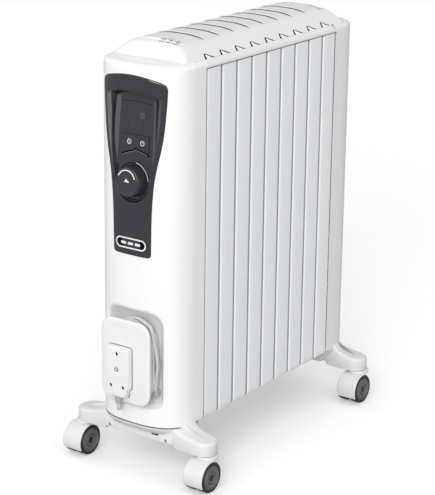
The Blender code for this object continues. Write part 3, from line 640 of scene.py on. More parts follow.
# ------------------------------------------------------------------ control panel
PANEL_SIDES = ((0.375, 0.0350), (0.410, 0.0355), (0.437, 0.0364), (0.460, 0.0380), (0.480, 0.0402),
               (0.500, 0.0437), (0.520, 0.0482), (0.540, 0.0520), (0.560, 0.0546), (0.585, 0.0566),
               (0.605, 0.0580), (0.622, 0.0585))
PANEL_CENTRE = (0.0, 0.530)
PANEL_RIM = 0.0070


def panel_half_width(z):
    """The control panel's half width at a height."""
    return table(z, PANEL_SIDES)


def panel_outline(grow=0.0):
    """Control panel's outline: narrow foot, waist and wide arched head."""
    corner = 0.0062
    half = PANEL_SIDES[0][1]
    right = [(0.0, PANEL_BOTTOM - grow), (half - corner, PANEL_BOTTOM - grow)]
    for i in range(1, 9):
        angle = pi / 2 * i / 8
        right.append((half - corner + (corner + grow) * sin(angle),
                      PANEL_BOTTOM + corner - (corner + grow) * cos(angle)))
    steps = 60
    for i in range(1, steps + 1):
        z = 0.375 + (0.6195 - 0.375) * i / steps
        right.append((panel_half_width(z) + grow, z))
    for i in range(1, 9):
        angle = radians(75) * i / 8
        right.append((0.0585 - 0.0085 * (1 - cos(angle)) + grow, 0.6195 + 0.0100 * sin(angle) + grow * 0.5))
    for i in range(13):
        x = 0.0500 * (1 - i / 12)
        right.append((x, PANEL_TOP - 0.0078 * (x / 0.0520) ** 2 + grow))
    return right + [(-x, z) for x, z in reversed(right[1:-1])]


def window_outline(share):
    """Pocket's outline: at the panel's face (0) to its floor (1)."""
    seat = 0.0316
    right = []
    for i in range(25):
        angle = radians(-90 + 100 * i / 24)
        right.append((seat * cos(angle), KNOB_Z + seat * sin(angle)))
    z = 0.486
    while z < 0.6010:
        right.append((table(z, ((0.4812, seat * 0.985), (0.500, panel_half_width(0.500) - PANEL_RIM),
                                (0.520, panel_half_width(0.520) - PANEL_RIM),
                                (0.540, panel_half_width(0.540) - PANEL_RIM),
                                (0.560, panel_half_width(0.560) - PANEL_RIM),
                                (0.602, panel_half_width(0.602) - PANEL_RIM))), z))
        z += 0.004
    edge = panel_half_width(0.602) - PANEL_RIM
    for i in range(1, 7):
        angle = pi / 2 * i / 6
        right.append((edge - 0.0045 * (1 - cos(angle)), 0.6025 + 0.0045 * sin(angle)))
    for i in range(1, 9):
        x = (edge - 0.0045) * (1 - i / 8)
        right.append((x, 0.6125 - 0.0055 * (x / 0.047) ** 2))
    outline = right + [(-x, z) for x, z in reversed(right[1:-1])]
    shaped = []
    for x, z in outline:
        draft = share * (0.0012 + 0.0085 * max(0.0, (z - 0.470) / 0.140))
        shaped.append((x * (1 - draft / 0.040), z - (draft * 0.35 * ease((z - 0.590) / 0.015))))
    return shaped


def floor_y(z, behind=0.0):
    """Tilted floor of the display's pocket."""
    return -BODY_HALF_DEPTH + FLOOR_DEPTH + (z - KNOB_Z) * tan(FLOOR_TILT) + behind


def polar(outline):
    """Outline as sorted (angle, reach) about the panel's centre."""
    found = []
    for x, z in outline:
        found.append((atan2(z - PANEL_CENTRE[1], x - PANEL_CENTRE[0]) % (2 * pi),
                      hypot(x - PANEL_CENTRE[0], z - PANEL_CENTRE[1])))
    return sorted(found)


def at_angle(shape, angle):
    """Point of a polar outline at one angle."""
    low, high = 0, len(shape) - 1
    if angle <= shape[0][0] or angle >= shape[-1][0]:
        (a0, r0), (a1, r1) = shape[-1], shape[0]
        span = (a1 - a0) % (2 * pi)
        t = ((angle - a0) % (2 * pi)) / max(span, 1e-9)
    else:
        while high - low > 1:
            middle = (low + high) // 2
            if shape[middle][0] <= angle:
                low = middle
            else:
                high = middle
        (a0, r0), (a1, r1) = shape[low], shape[high]
        t = (angle - a0) / max(a1 - a0, 1e-9)
    # straight line between the two points, met by the ray
    x0, z0 = r0 * cos(a0), r0 * sin(a0)
    x1, z1 = r1 * cos(a1), r1 * sin(a1)
    x, z = x0 + (x1 - x0) * t, z0 + (z1 - z0) * t
    reach = hypot(x, z)
    return (PANEL_CENTRE[0] + reach * cos(angle), PANEL_CENTRE[1] + reach * sin(angle))


def inset_ring(ring, inset):
    """Closed ring moved inwards by inset, along its own normals."""
    count = len(ring)
    moved = []
    for i in range(count):
        a, b = ring[i - 1], ring[(i + 1) % count]
        dx, dz = b[0] - a[0], b[1] - a[1]
        size = hypot(dx, dz) or 1.0
        moved.append((ring[i][0] - dz / size * inset, ring[i][1] + dx / size * inset))
    return moved


def control_panel():
    """Dark frame with a drafted pocket, as one skin from its edge down to the lens."""
    outer, mouth, floor = polar(panel_outline()), polar(window_outline(0.0)), polar(window_outline(1.0))
    angles = sorted({round(a, 5) for a, _ in outer + mouth})
    thinned = [angles[0]]
    for angle in angles:
        if angle - thinned[-1] > 0.004:
            thinned.append(angle)
    angles = thinned
    edge = [at_angle(outer, a) for a in angles]
    lip = [at_angle(mouth, a) for a in angles]
    base = [at_angle(floor, a) for a in angles]
    rings = [[(x, -0.2380, z) for x, z in edge]]
    rings.append([(x, face_y(x, 0.0) + 0.0006, z) for x, z in edge])
    for inset, down in ((0.0, 0.0009), (0.0002, 0.0004), (0.0006, 0.0001), (0.0012, 0.0)):
        rings.append([(x, face_y(x, PANEL_PROUD) + down, z) for x, z in inset_ring(edge, inset)])
    inner, outer_lip = inset_ring(edge, 0.0012), inset_ring(lip, -0.0012)
    for i in range(1, 11):
        t = i / 10
        ring = [(a[0] + (b[0] - a[0]) * t, a[1] + (b[1] - a[1]) * t) for a, b in zip(inner, outer_lip)]
        rings.append([(x, face_y(x, PANEL_PROUD), z) for x, z in ring])
    for inset, down in ((-0.0006, 0.00012), (-0.0002, 0.0004), (0.0, 0.0008)):
        rings.append([(x, face_y(x, PANEL_PROUD) + down, z) for x, z in inset_ring(lip, inset)])
    # a bevel inside the rim, widest beside the lens, then the steep wall down to the floor
    shelf = []
    for (x0, z0), (x1, z1) in zip(lip, base):
        width = 0.0058 * ease((abs(x0) - 0.020) / 0.020) * ease((z0 - 0.500) / 0.080)
        shelf.append((x0 - copysign(width, x0), z0, face_y(x0, PANEL_PROUD) + 0.0008 + width * 0.42, x1, z1))
    bevel_row = len(rings) - 1
    rings.append([(x, y, z) for x, z, y, _, _ in shelf])
    for i in range(1, 7):
        t = i / 6
        ring = []
        for x0, z0, top, x1, z1 in shelf:
            x, z = x0 + (x1 - x0) * t, z0 + (z1 - z0) * t
            ring.append((x, top + (floor_y(z, 0.0026) - top) * t, z))
        rings.append(ring)
    panel = piece("panel_frame", *rings_mesh(rings), CHARCOAL, sharp=50, slot="dark_plastic")
    # painted highlight: the bevel's faces beside the lens take the lighter grey
    panel.data.materials.append(BEVEL_PAINTED_HIGHLIGHT)
    for c in range(len(angles)):
        if abs(lip[c][0]) > 0.020 and lip[c][1] > 0.500:
            panel.data.polygons[bevel_row * len(angles) + c].material_index = 1
    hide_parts("control_panel")


def display_window():
    """Smoked lens on the pocket's floor, cut out for the keys and the knob's shaft."""
    outline = window_outline(1.0)
    edge = inset_ring(outline, 0.0005)
    steps = ((0.0, 0.0021), (0.0, 0.0004), (0.0002, 0.0001), (0.0006, 0.0), (0.0012, 0.0), (0.0024, 0.0))
    rings = [[(x, floor_y(z, back), z) for x, z in inset_ring(edge, inset)] for inset, back in steps]
    lens = piece("lens", *rings_mesh(rings), LENS, sharp=50, slot="smoked_lens")
    boolean(lens, [tool_prism(key_outline(0, 0.0010), *THROUGH_FRONT),
                   tool_prism(circle(0, KNOB_Z, 0.0060, 24), *THROUGH_FRONT)])
    smooth(lens, 12)
    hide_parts("display_window")


KEY_LOWER_RIGHT = ((0.0245, 0.5188), (0.0190, 0.5208), (0.0110, 0.5226), (0.0045, 0.5240))
KEY_LOWER_LEFT = ((-0.0245, 0.5146), (-0.0180, 0.5178), (-0.0100, 0.5206), (-0.0032, 0.5224))


def key_outline(side, grow):
    """Outline of the left (-1) or right (1) touch key, or of the opening for both (0)."""
    top, half, inner = KNOB_Z + 0.0690 + grow, 0.0245 + grow, 0.0004
    right = [(x, z - 2 * grow) for x, z in KEY_LOWER_RIGHT]
    left = [(x, z - 2 * grow) for x, z in KEY_LOWER_LEFT]
    right[0], left[0] = (half, right[0][1]), (-half, left[0][1])
    if side == 0:
        return right + [(0.0006, 0.5262 - 2 * grow)] + left[::-1] + [(-half, top), (half, top)]
    if side > 0:
        return right + [(inner, 0.5258), (inner, top), (half, top)]
    return left + [(-inner, 0.5246), (-inner, top), (-half, top)]


def on_floor(name, outlines, depth, thick, finish, body="heater", slot=None):
    """Thin marks or plates lying on the tilted display floor; each outline is closed, of (x, z)."""
    tools = [rings_mesh([[(x, floor_y(z, depth + t), z) for x, z in outline] for t in (0.0, -thick)])
             for outline in outlines]
    return piece(name, *merged(tools), finish, body=body, sharp=30, slot=slot)


def ring_outline(cx, cz, radius, width, first=0.0, last=360.0, steps=28):
    """Closed outline of an arc-shaped stroke."""
    outer, inner = [], []
    for i in range(steps + 1):
        angle = radians(first + (last - first) * i / steps)
        outer.append((cx + (radius + width / 2) * cos(angle), cz + (radius + width / 2) * sin(angle)))
        inner.append((cx + (radius - width / 2) * cos(angle), cz + (radius - width / 2) * sin(angle)))
    return outer + inner[::-1]


def bar(x0, z0, x1, z1, width):
    """Closed outline of a straight stroke."""
    dx, dz = x1 - x0, z1 - z0
    size = hypot(dx, dz)
    nx, nz = -dz / size * width / 2, dx / size * width / 2
    return [(x0 + nx, z0 + nz), (x0 - nx, z0 - nz), (x1 - nx, z1 - nz), (x1 + nx, z1 + nz)]


def keys():
    """The two key caps and their symbols."""
    for name, side in (("power_key", -1), ("timer_key", 1)):
        outline = key_outline(side, 0.0)
        if side < 0:
            outline = outline[::-1]
        rings = [[(x, floor_y(z, back), z) for x, z in inset_ring(outline, inset)] for inset,
                 back in ((0.0, 0.0044), (0.0, -0.0003), (0.0002, -0.0006), (0.0006, -0.0008))]
        key = piece(name + "_cap", *rings_mesh(rings), LENS, body=name, sharp=40, slot="smoked_lens")
        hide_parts(name)
    left, right, height, radius, stroke = -0.0118, 0.0126, 0.5335, 0.0034, 0.0009
    power = [ring_outline(left, height, radius, stroke), ring_outline(left, height, 0.0015, 0.0003, 125, 415),
             bar(left, height + 0.0002, left, height + 0.0022, 0.0004)]
    timer = [ring_outline(right, height, radius, stroke),
             bar(right, height - 0.0004, right, height + 0.0020, 0.0006),
             bar(right - 0.0003, height, right + 0.0014, height, 0.0006)]
    on_floor("power_key_mark", power, -0.0008, 0.00006, PRINT, body="power_key", slot="white_plastic")
    on_floor("timer_key_mark", timer, -0.0008, 0.00006, PRINT, body="timer_key", slot="white_plastic")


def key_contour():
    """Dark strip in the parting line under the keys, painting its shade, with a painted highlight along its
    lower edge.
    """
    path = list(KEY_LOWER_LEFT) + [(-0.0006, 0.5240), (0.0008, 0.5262),
                                   (0.0026, 0.5248)] + list(KEY_LOWER_RIGHT[::-1])
    path.append((KEY_LOWER_RIGHT[0][0], KEY_LOWER_RIGHT[0][1] - 0.0040))
    for name, drop, width, finish in (("key_parting_shade", 0.0008, 0.0022, NEAR_BLACK_AND_SHADE),
                                      ("key_lower_painted_highlight", 0.0028, 0.0011, KEY_EDGE_PAINTED_HIGHLIGHT)):
        strips = [bar(a[0], a[1] - drop, b[0], b[1] - drop, width) for a, b in zip(path, path[1:])]
        on_floor(name, strips, -0.0009 if drop < 0.001 else 0.0, 0.00005, finish, slot="dark_plastic")


DIGIT_Z, DIGIT_SIZE = 0.5600, 0.8


def display_marks():
    """Faint display behind the smoked lens: its frame line, two blank digits and a lit patch."""
    marks = []
    for cx in (-0.0060, 0.0035):
        for x0, z0, x1, z1 in ((-0.0035, 0.0065, 0.0035, 0.0065), (-0.0035, 0.0, 0.0035, 0.0),
                               (-0.0035, -0.0065, 0.0035, -0.0065), (-0.0040, 0.0005, -0.0040, 0.0060),
                               (0.0040, 0.0005, 0.0040, 0.0060), (-0.0040, -0.0060, -0.0040, -0.0005),
                               (0.0040, -0.0060, 0.0040, -0.0005)):
            ends = [DIGIT_SIZE * v for v in (x0, z0, x1, z1)]
            marks.append(bar(cx + ends[0], DIGIT_Z + ends[1], cx + ends[2], DIGIT_Z + ends[3], 0.0008))
    marks.append(rounded(0.0042, 0.0046, 0.0008, (0.0100, 0.5750), 3))
    on_floor("display_segments", marks, 0.0, 0.00004, PRINT_FAINT, slot="smoked_lens")
    line = [bar(-0.0290, 0.5935, 0.0010, 0.5950, 0.0007), bar(0.0010, 0.5950, 0.0290, 0.5935, 0.0007)]
    on_floor("display_border", line, 0.0, 0.00004, NEAR_BLACK_AND_SHADE, slot="smoked_lens")


def panel_edge():
    """Thin painted highlight along the right half of the panel's upper edge."""
    rings = []
    for i in range(21):
        x = 0.0310 + 0.0190 * i / 20
        z = PANEL_TOP - 0.0078 * (x / 0.0520) ** 2 - 0.0014
        y, half = face_y(x, PANEL_PROUD), 0.0005 * sin(pi * (i + 1) / 22)
        rings.append([(x, y + 0.0004, z - half), (x, y - 0.0002, z - half), (x, y - 0.0002, z + half),
                      (x, y + 0.0004, z + half)])
    piece("panel_edge_painted_highlight", *rings_mesh(rings), PAINTED_GLINT, sharp=30, slot="dark_plastic")


def pocket_highlight_strips():
    """Bevelled strips along both sides of the lens, in a lighter grey that paints a highlight."""
    outline = window_outline(1.0)
    for side, label in ((-1, "left"), (1, "right")):
        path = sorted([(x, z) for x, z in outline if x * side > 0.030 and 0.497 < z < 0.602],
                      key=lambda p: p[1])
        rings = []
        for x, z in path:
            wide = 0.0064 * ease((z - 0.485) / 0.060)
            a = abs(x) - 0.0003 - 0.0022 * ease((z - 0.520) / 0.080)
            corners = [(a, floor_y(z, 0.0006)), (a, floor_y(z, -0.0034 * ease((z - 0.485) / 0.08))),
                       (a - wide * 0.55, floor_y(z, -0.0014 * ease((z - 0.485) / 0.08))),
                       (a - wide, floor_y(z, -0.0002)), (a - wide, floor_y(z, 0.0006))]
            rings.append([(side * u, y, z) for u, y in corners])
        piece("pocket_highlight_strip_" + label, *rings_mesh(rings), CHARCOAL_PAINTED_HIGHLIGHT, sharp=25, slot="dark_plastic")


def knob_place():
    """Where the knob's axis stands, square to the tilted floor."""
    return (Matrix.Translation((0, floor_y(KNOB_Z) + SHIFT, KNOB_Z))
            @ Matrix.Rotation(pi / 2 - FLOOR_TILT, 4, "X"))


def knob():
    """Conical knob with its marks, and the raised ring round its seat, with a painted highlight on the ring.
    """
    place = knob_place()
    profile = [(0.0, 0.0003), (0.0244, 0.0003), (0.0249, 0.0007), (0.0249, 0.0016), (0.0246, 0.0024),
               (0.0238, 0.0070),
               (0.0230, 0.0120), (0.0224, 0.0158), (0.0221, 0.0171), (0.0215, 0.0181), (0.0205, 0.0187),
               (0.0194, 0.0187), (0.0187, 0.0184), (0.0180, 0.0183), (0.0, 0.0185)]
    body = piece("knob_body", *lathe(profile, 96), CHARCOAL, body="knob", place=place, sharp=50,
                 slot="dark_plastic")
    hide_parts("knob")
    top = 0.01842

    for name, outline in (("knob_arc", ring_outline(-0.0008, 0.0024, 0.0158, 0.0018, 15, 158, 40)),
                          ("knob_pointer", [(-0.0052, 0.0002), (0.0052, 0.0002), (-0.0006, 0.0054)])):
        rings = [[(x, z, top + t) for x, z in outline] for t in (-0.0002, 0.00010)]
        piece(name, *rings_mesh(rings), PRINT, body="knob", place=place, sharp=30, slot="white_plastic")
    ring = [(0.0256, 0.0), (0.0256, 0.0006), (0.0268, 0.0008), (0.0275, 0.0020), (0.0282, 0.0033),
            (0.0290, 0.0039), (0.0298, 0.0037), (0.0304, 0.0027), (0.0307, 0.0010), (0.0307, 0.0)]
    # painted highlight: a pale arc on the seat ring's upper right
    arc = ring_outline(0.0, 0.0, 0.0292, 0.0013, 8, 80, 24)
    rings = [[(x, z, t) for x, z in arc] for t in (0.0030, 0.0041)]
    piece("knob_seat_painted_highlight", *rings_mesh(rings), PAINTED_GLINT, place=place, sharp=30, slot="dark_plastic")
    rings = [[(u, v, height) for u, v in circle(0, 0, radius, 96)] for radius, height in ring]
    piece("knob_seat_ring", *hoop(rings), GLOSS, place=place, sharp=40, slot="dark_plastic")


def badge():
    """Pill-shaped badge with a pale outline and a plain mark of three bars."""
    def skin(outline, out, back):
        """Plate that follows the front face, from out to back."""
        return rings_mesh([[(x, face_y(x, PANEL_PROUD) - out + t, z) for x, z in outline]
                           for t in (back, 0.0)])
    outer = rounded(0.0283, 0.0086, 0.0085, (0, BADGE_Z), 14)
    inner = rounded(0.0262, 0.0065, 0.0064, (0, BADGE_Z), 14)
    plate = piece("badge_plate", *skin(outer, 0.0009, 0.0012), NEAR_BLACK_AND_SHADE, sharp=40, slot="dark_plastic")
    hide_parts("badge")
    rings = [[(x, face_y(x, PANEL_PROUD) - out, z) for x, z in line] for line,
             out in ((outer, 0.0008), (outer, 0.0013), (inner, 0.0013), (inner, 0.0008))]
    piece("badge_rim", *hoop(rings), PRINT, sharp=40, slot="white_plastic")
    marks = [skin(rounded(0.0050, 0.0020, 0.0019, (x, BADGE_Z), 5), 0.0011, 0.0004)
             for x in (-0.0130, 0.0, 0.0130)]
    piece("badge_mark", *merged(marks), PRINT, sharp=40, slot="white_plastic")


# ------------------------------------------------------------------ top cover
CAP_ACROSS = ((0.0, 0.68120), (0.015, 0.68105), (0.030, 0.67940), (0.044, 0.67640), (0.060, 0.66450),
              (0.0665, 0.65850), (0.0705, 0.65555))
CAP_ALONG = ((0.190, 0.68160), (0.196, 0.68080), (0.203, 0.67600), (0.210, 0.66720), (0.217, 0.65860),
             (0.2205, 0.65610), (0.2262, 0.65545))


def fin_places():
    """Each fin's place along the stack."""
    return [(n - (FIN_COUNT - 1) / 2) * FIN_PITCH for n in range(FIN_COUNT)]


def slot_places():
    """Halfway between each fin and the next."""
    return [(n - (FIN_COUNT - 2) / 2) * FIN_PITCH for n in range(FIN_COUNT - 1)]


VENT_OUTLINE = ((0.0712, -0.0122), (0.0712, 0.0130), (0.0690, 0.0120), (0.0625, -0.0030), (0.0616, -0.0048),
                (0.0627, -0.0066), (0.0690, -0.0112))


def cap_height(x, y):
    """Height of the top cover's skin: a crowned roof with soft shoulders, stepped at each slot."""
    a, b = table(abs(x), CAP_ACROSS), table(abs(y), CAP_ALONG)
    if b > 0.68150:
        b = 0.6900
    near = max(CAP_BLEND - abs(a - b), 0.0) / CAP_BLEND
    z = min(a, b) - near * near * CAP_BLEND * 0.25
    fade = ease((0.0490 - abs(x)) / 0.0120)
    if fade > 0.0:
        for place in slot_places():
            behind = y - place
            if 0.0 <= behind < 0.0340:
                z += 0.0022 * fade * (1 - behind / 0.0340) ** 2
            elif -0.0080 < behind < 0.0:
                z -= 0.0004 * fade * (1 + behind / 0.0080)
    return z


def top_cover():
    """Cap with slots across its roof and vents along its shoulders."""
    lengths = []
    y = -CAP_HALF_LENGTH
    while y < CAP_HALF_LENGTH - 0.0001:
        lengths.append(y)
        y += 0.0016
    lengths.append(CAP_HALF_LENGTH)
    for place in slot_places():
        lengths += [place - 0.0001, place + 0.0001]
    lengths = sorted(lengths)
    columns = 97
    points = []
    for y in lengths:
        past = max(0.0, abs(y) - (CAP_HALF_LENGTH - CAP_CORNER))
        width = CAP_HALF_WIDTH - CAP_CORNER + sqrt(max(0.0, CAP_CORNER ** 2 - past ** 2))
        for i in range(columns):
            t = -1 + 2 * i / (columns - 1)
            x = width * copysign(abs(t) ** 0.92, t)
            points.append((x, y, cap_height(x, y)))
    faces = grid_faces(len(lengths), columns)
    rim = list(range(columns))
    rim += [r * columns + columns - 1 for r in range(1, len(lengths))]
    rim += [(len(lengths) - 1) * columns + i for i in range(columns - 2, -1, -1)]
    rim += [r * columns for r in range(len(lengths) - 2, 0, -1)]
    start = len(points)
    for i in rim:
        points.append((points[i][0], points[i][1], CAP_SKIRT))
    for k in range(len(rim)):
        j = (k + 1) % len(rim)
        faces.append((rim[k], rim[j], start + j, start + k))
    cap = piece("top_cap", points, faces, CAP_WHITE, slot="white_plastic")
    solidify(cap, CAP_WALL)
    cutters = []
    for place in slot_places():
        outline = []
        for way, depth in ((1, -0.0026), (-1, 0.0022)):
            for i in range(41):
                x = SLOT_REACH * way * (1 - 2 * i / 40)
                outline.append((x, place + depth * (1 - (x / SLOT_HALF) ** 6)))
        cutters.append(tool_prism(outline, 0.640, 0.720, "Z"))
    for y in fin_places():
        for side in (-1, 1):
            outline = [(side * x, y + along) for x, along in VENT_OUTLINE]
            cutters.append(tool_prism(outline, 0.6400, 0.7000, "Z"))
    boolean(cap, [merged(cutters)])
    smooth(cap, 35)
    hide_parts("top_cover")


def vent_facets():
    """Inside each shoulder vent: a facet rising to the rear between two dark strips that paint the shade of
    the openings.
    """
    bright, shade, dark = [], [], []
    for y in fin_places():
        for side in (-1, 1):
            strips = ([], [], [])
            for i in range(8):
                t = i / 7
                x = 0.0710 - 0.0086 * t
                z = table(x, CAP_ACROSS)
                low, high = y - 0.0126 + 0.0064 * t, y + 0.0134 - 0.0150 * t
                front, rear = low + 0.0060 - 0.0028 * t, high - 0.0062 + 0.0022 * t
                rear = max(rear, front)
                for strip, a, b, drop_a, drop_b in zip(strips, (low, front, rear), (front, rear, high),
                                                       (0.0016, 0.0013, 0.0006), (0.0014, 0.0003, 0.0006)):
                    strip.append([(side * x, a, z - drop_a), (side * x, b, z - drop_b),
                                  (side * x, b, z - drop_b - 0.0014), (side * x, a, z - drop_a - 0.0014)])
            for parts, strip in zip((shade, bright, dark), strips):
                parts.append(rings_mesh(strip))
    piece("vent_facets", *merged(bright), WHITE, sharp=30, slot="white_plastic")
    # painted shade: the dark strips either side of each facet
    piece("vent_opening_painted_shade", *merged(dark), BLACK, sharp=30, slot="black_bakelite")
    piece("vent_edge_painted_shade", *merged(shade), NEAR_BLACK_AND_SHADE, sharp=30, slot="black_bakelite")


def slot_painted_shade():
    """Dark strips just under each slot of the top cover, painting the shade inside the slot."""
    tools = []
    for place in slot_places():
        rings = []
        for i in range(31):
            x = 0.0466 * (-1 + 2 * i / 30)
            share = 1 - (x / SLOT_HALF) ** 6
            front, rear = place - 0.0029 * share - 0.0002, place + 0.0025 * share + 0.0002
            low = cap_height(x, place - 0.0001) - 0.0008
            high = cap_height(x, place + 0.0002) - 0.0017
            rings.append([(x, front, low), (x, rear, high), (x, rear, high - 0.0022),
                          (x, front, low - 0.0022)])
        tools.append(rings_mesh(rings))
    piece("slot_painted_shade", *merged(tools), PRINT_GREY_AND_SHADE, sharp=30, slot="black_bakelite")


def slot_shade_sheet():
    """Dark sheet under the slots, painting the shade seen through them and keeping the fins out of sight."""
    half_width, half_length, corner, bottom, top = 0.0500, 0.1650, 0.0060, 0.6700, 0.6708
    rings = [[(x, y, z) for x, y in rounded(half_width, half_length, corner)] for z in (bottom, top)]
    piece("slot_painted_shade_sheet", *rings_mesh(rings), BLACK, slot="black_bakelite")


def rails():
    """Rounded strips along both sides, between the cap and the fins."""
    for side, label in ((-1, "left"), (1, "right")):
        end = STACK_HALF - 0.0003
        stations = [-end, -end + 0.0005, -end + 0.0015]
        stations += [-end + 0.004 + (2 * end - 0.012) * i / 40 for i in range(41)]
        stations += [end - 0.0060, end - 0.0040, end - 0.0022, end - 0.0009, end]
        rings = []
        for y in stations:
            near = min(y + end, 0.0015) / 0.0015
            far = max(0.0, 1 - (end - y) / 0.0075)
            drop = 0.0042 * (1 - sqrt(max(0.0, 1 - far ** 2)))
            pinch = 0.0006 * (1 - near)
            profile = [(0.0712, 0.6440), (HALF_WIDTH - 0.0006, 0.6438), (HALF_WIDTH, 0.6443),
                       (HALF_WIDTH + 0.0002, 0.6460), (HALF_WIDTH - 0.0002, 0.6484),
                       (HALF_WIDTH - 0.0012, 0.6507),
                       (HALF_WIDTH - 0.0030, 0.6528), (HALF_WIDTH - 0.0052, 0.6543),
                       (HALF_WIDTH - 0.0074, 0.6551), (0.0712, 0.6552)]
            ring = [(side * (x - pinch), y, max(0.6438, z - drop * ease((z - 0.6438) / 0.011) - pinch))
                    for x, z in profile]
            rings.append(ring)
        piece("side_rail_" + label, *rings_mesh(rings), CAP_WHITE, sharp=40, slot="white_plastic")


def upright(x0, x1, y0, y1, z0, z1):
    """Plain box strip between two corners."""
    flat = [(x0, y0), (x1, y0), (x1, y1), (x0, y1)]
    return rings_mesh([[(x, y, z) for x, y in flat] for z in (z0, z1)])


def stack_gaps():
    """Dark strips that paint the shade in the gaps above the fins, in front of them and between them."""
    lines, shade_strips = [], []
    for side in (-1, 1):
        inner, outer = sorted((side * 0.0730, side * (HALF_WIDTH + 0.0002)))
        lines.append(upright(inner, outer, -STACK_HALF, STACK_HALF, 0.6430, 0.6440))
        lines.append(upright(inner, outer, -STACK_HALF - 0.0004, -STACK_HALF + 0.0005, 0.0890, 0.6440))
        inner, outer = sorted((side * 0.0735, side * (HALF_WIDTH - 0.0020)))
        for y in slot_places():
            shade_strips.append(upright(inner, outer, y - 0.0023, y + 0.0023, 0.0890, 0.6430))
    piece("stack_gap_painted_shade", *merged(lines), PRINT_GREY_AND_SHADE, sharp=30, slot="dark_plastic")
    piece("fin_joint_liners", *merged(shade_strips), JOINT_PAINTED_SHADE, sharp=30, slot="dark_plastic")


def grip_marks():
    """Three short ribs in a row, three rows at each end of the cap, each with a dark strip before it that
    paints its shadow.
    """
    ribs, shadow_strips = [], []
    for rows, half, end in (((0.0080, 0.0205, 0.0330), 0.0042, -1), ((0.0240, 0.0330, 0.0420), 0.0030, 1)):
        for x in rows:
            for j in range(3):
                y = end * (0.1830 + 0.0062 * j)
                rib, groove_and_shadow = [], []
                for i in range(9):
                    t = -1 + 2 * i / 8
                    u = x + half * t
                    z = cap_height(u, y)
                    thin = 0.0008 * sqrt(max(0.02, 1 - t ** 4))
                    rib.append([(u, y - thin, z - 0.0006), (u, y - thin * 0.7, z + 0.0003),
                                (u, y, z + 0.0006),
                                (u, y + thin * 0.7, z + 0.0003), (u, y + thin, z - 0.0006)])
                    groove_and_shadow.append([(u, y - 0.0021, z - 0.0004), (u, y - 0.0021, z + 0.0002),
                                   (u, y, z + 0.0002), (u, y, z - 0.0004)])
                ribs.append(rings_mesh(rib))
                shadow_strips.append(rings_mesh(groove_and_shadow))
    piece("grip_marks", *merged(ribs), CAP_WHITE, sharp=60, slot="white_plastic")
    piece("grip_painted_shadows", *merged(shadow_strips), PRINT_GREY_AND_SHADE, sharp=60, slot="white_plastic")


# ------------------------------------------------------------------ fins
def fin_profile():
    """Plan of a fin: embossed web between two side panels with folded edges."""
    half, edge, fold = HALF_WIDTH, FIN_FLANGE / 2 - 0.0006, 0.0028
    thick = 0.0012
    right = []
    # web, from the middle out
    steps = 26
    for i in range(steps + 1):
        x = 0.0560 * i / steps
        wave = 0.5 + 0.5 * cos(2 * pi * x / 0.0224)
        right.append((x, 0.0014 + 0.0048 * wave * ease((0.0570 - x) / 0.008)))
    right += [(0.0600, 0.0012), (half - thick - 0.0016, 0.0012), (half - thick - 0.0004, 0.0018),
              (half - thick, 0.0034)]
    inner = edge - thick
    right.append((half - thick, inner - fold + thick))
    for i in range(1, 5):
        angle = pi / 2 * i / 4
        right.append((half - fold + (fold - thick) * cos(angle), edge - fold + (fold - thick) * sin(angle)))
    right += [(0.0660, inner), (0.0658, inner + 0.0006), (0.0660, edge)]
    for i in range(0, 9):
        angle = pi / 2 * (1 - i / 8)
        right.append((half - fold + fold * cos(angle), edge - fold + fold * sin(angle)))
    right.append((half, edge * 0.5))
    quarter = right
    # mirror to the four quarters, counter-clockwise
    upper_right = list(reversed(quarter))             # from the outer face in to the middle of the web
    upper_left = [(-x, y) for x, y in quarter[1:]]
    lower_left = [(-x, -y) for x, y in reversed(quarter)]
    lower_right = [(x, -y) for x, y in quarter[1:]]
    return upper_right + upper_left + lower_left + lower_right


def fins():
    """Nine folded fins, joined through their two hubs."""
    profile = fin_profile()
    for number, y in enumerate(fin_places(), 1):
        name = "fin_%d" % number
        levels = [FIN_BOTTOM, FIN_BOTTOM + 0.0006] + [0.095 + (FIN_TOP - 0.095) * i / 24 for i in range(25)]
        rings = []
        for k, z in enumerate(levels):
            squeeze = 0.0004 if k == 0 else 0.0
            bulge = 0.00025 * sin(pi * (z - FIN_BOTTOM) / (FIN_TOP - FIN_BOTTOM))
            ring = []
            for px, py in profile:
                flat = ease((abs(px) - 0.0770) / 0.0015) * ease((0.0150 - abs(py)) / 0.006)
                ring.append((px - copysign(squeeze, px) + copysign(bulge * flat, px), py + y, z))
            rings.append(ring)
        fin = piece(name + "_panel", *rings_mesh(rings), ENAMEL, sharp=40, slot="white_enamel")
        half = FIN_PITCH / 2 - 0.00015
        hubs = [tool_prism(circle(0, z, 0.027, 32), y - half, y + half) for z in (0.585, 0.150)]
        boolean(fin, [merged(hubs)], "UNION")
        smooth(fin, 40)
        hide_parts(name)


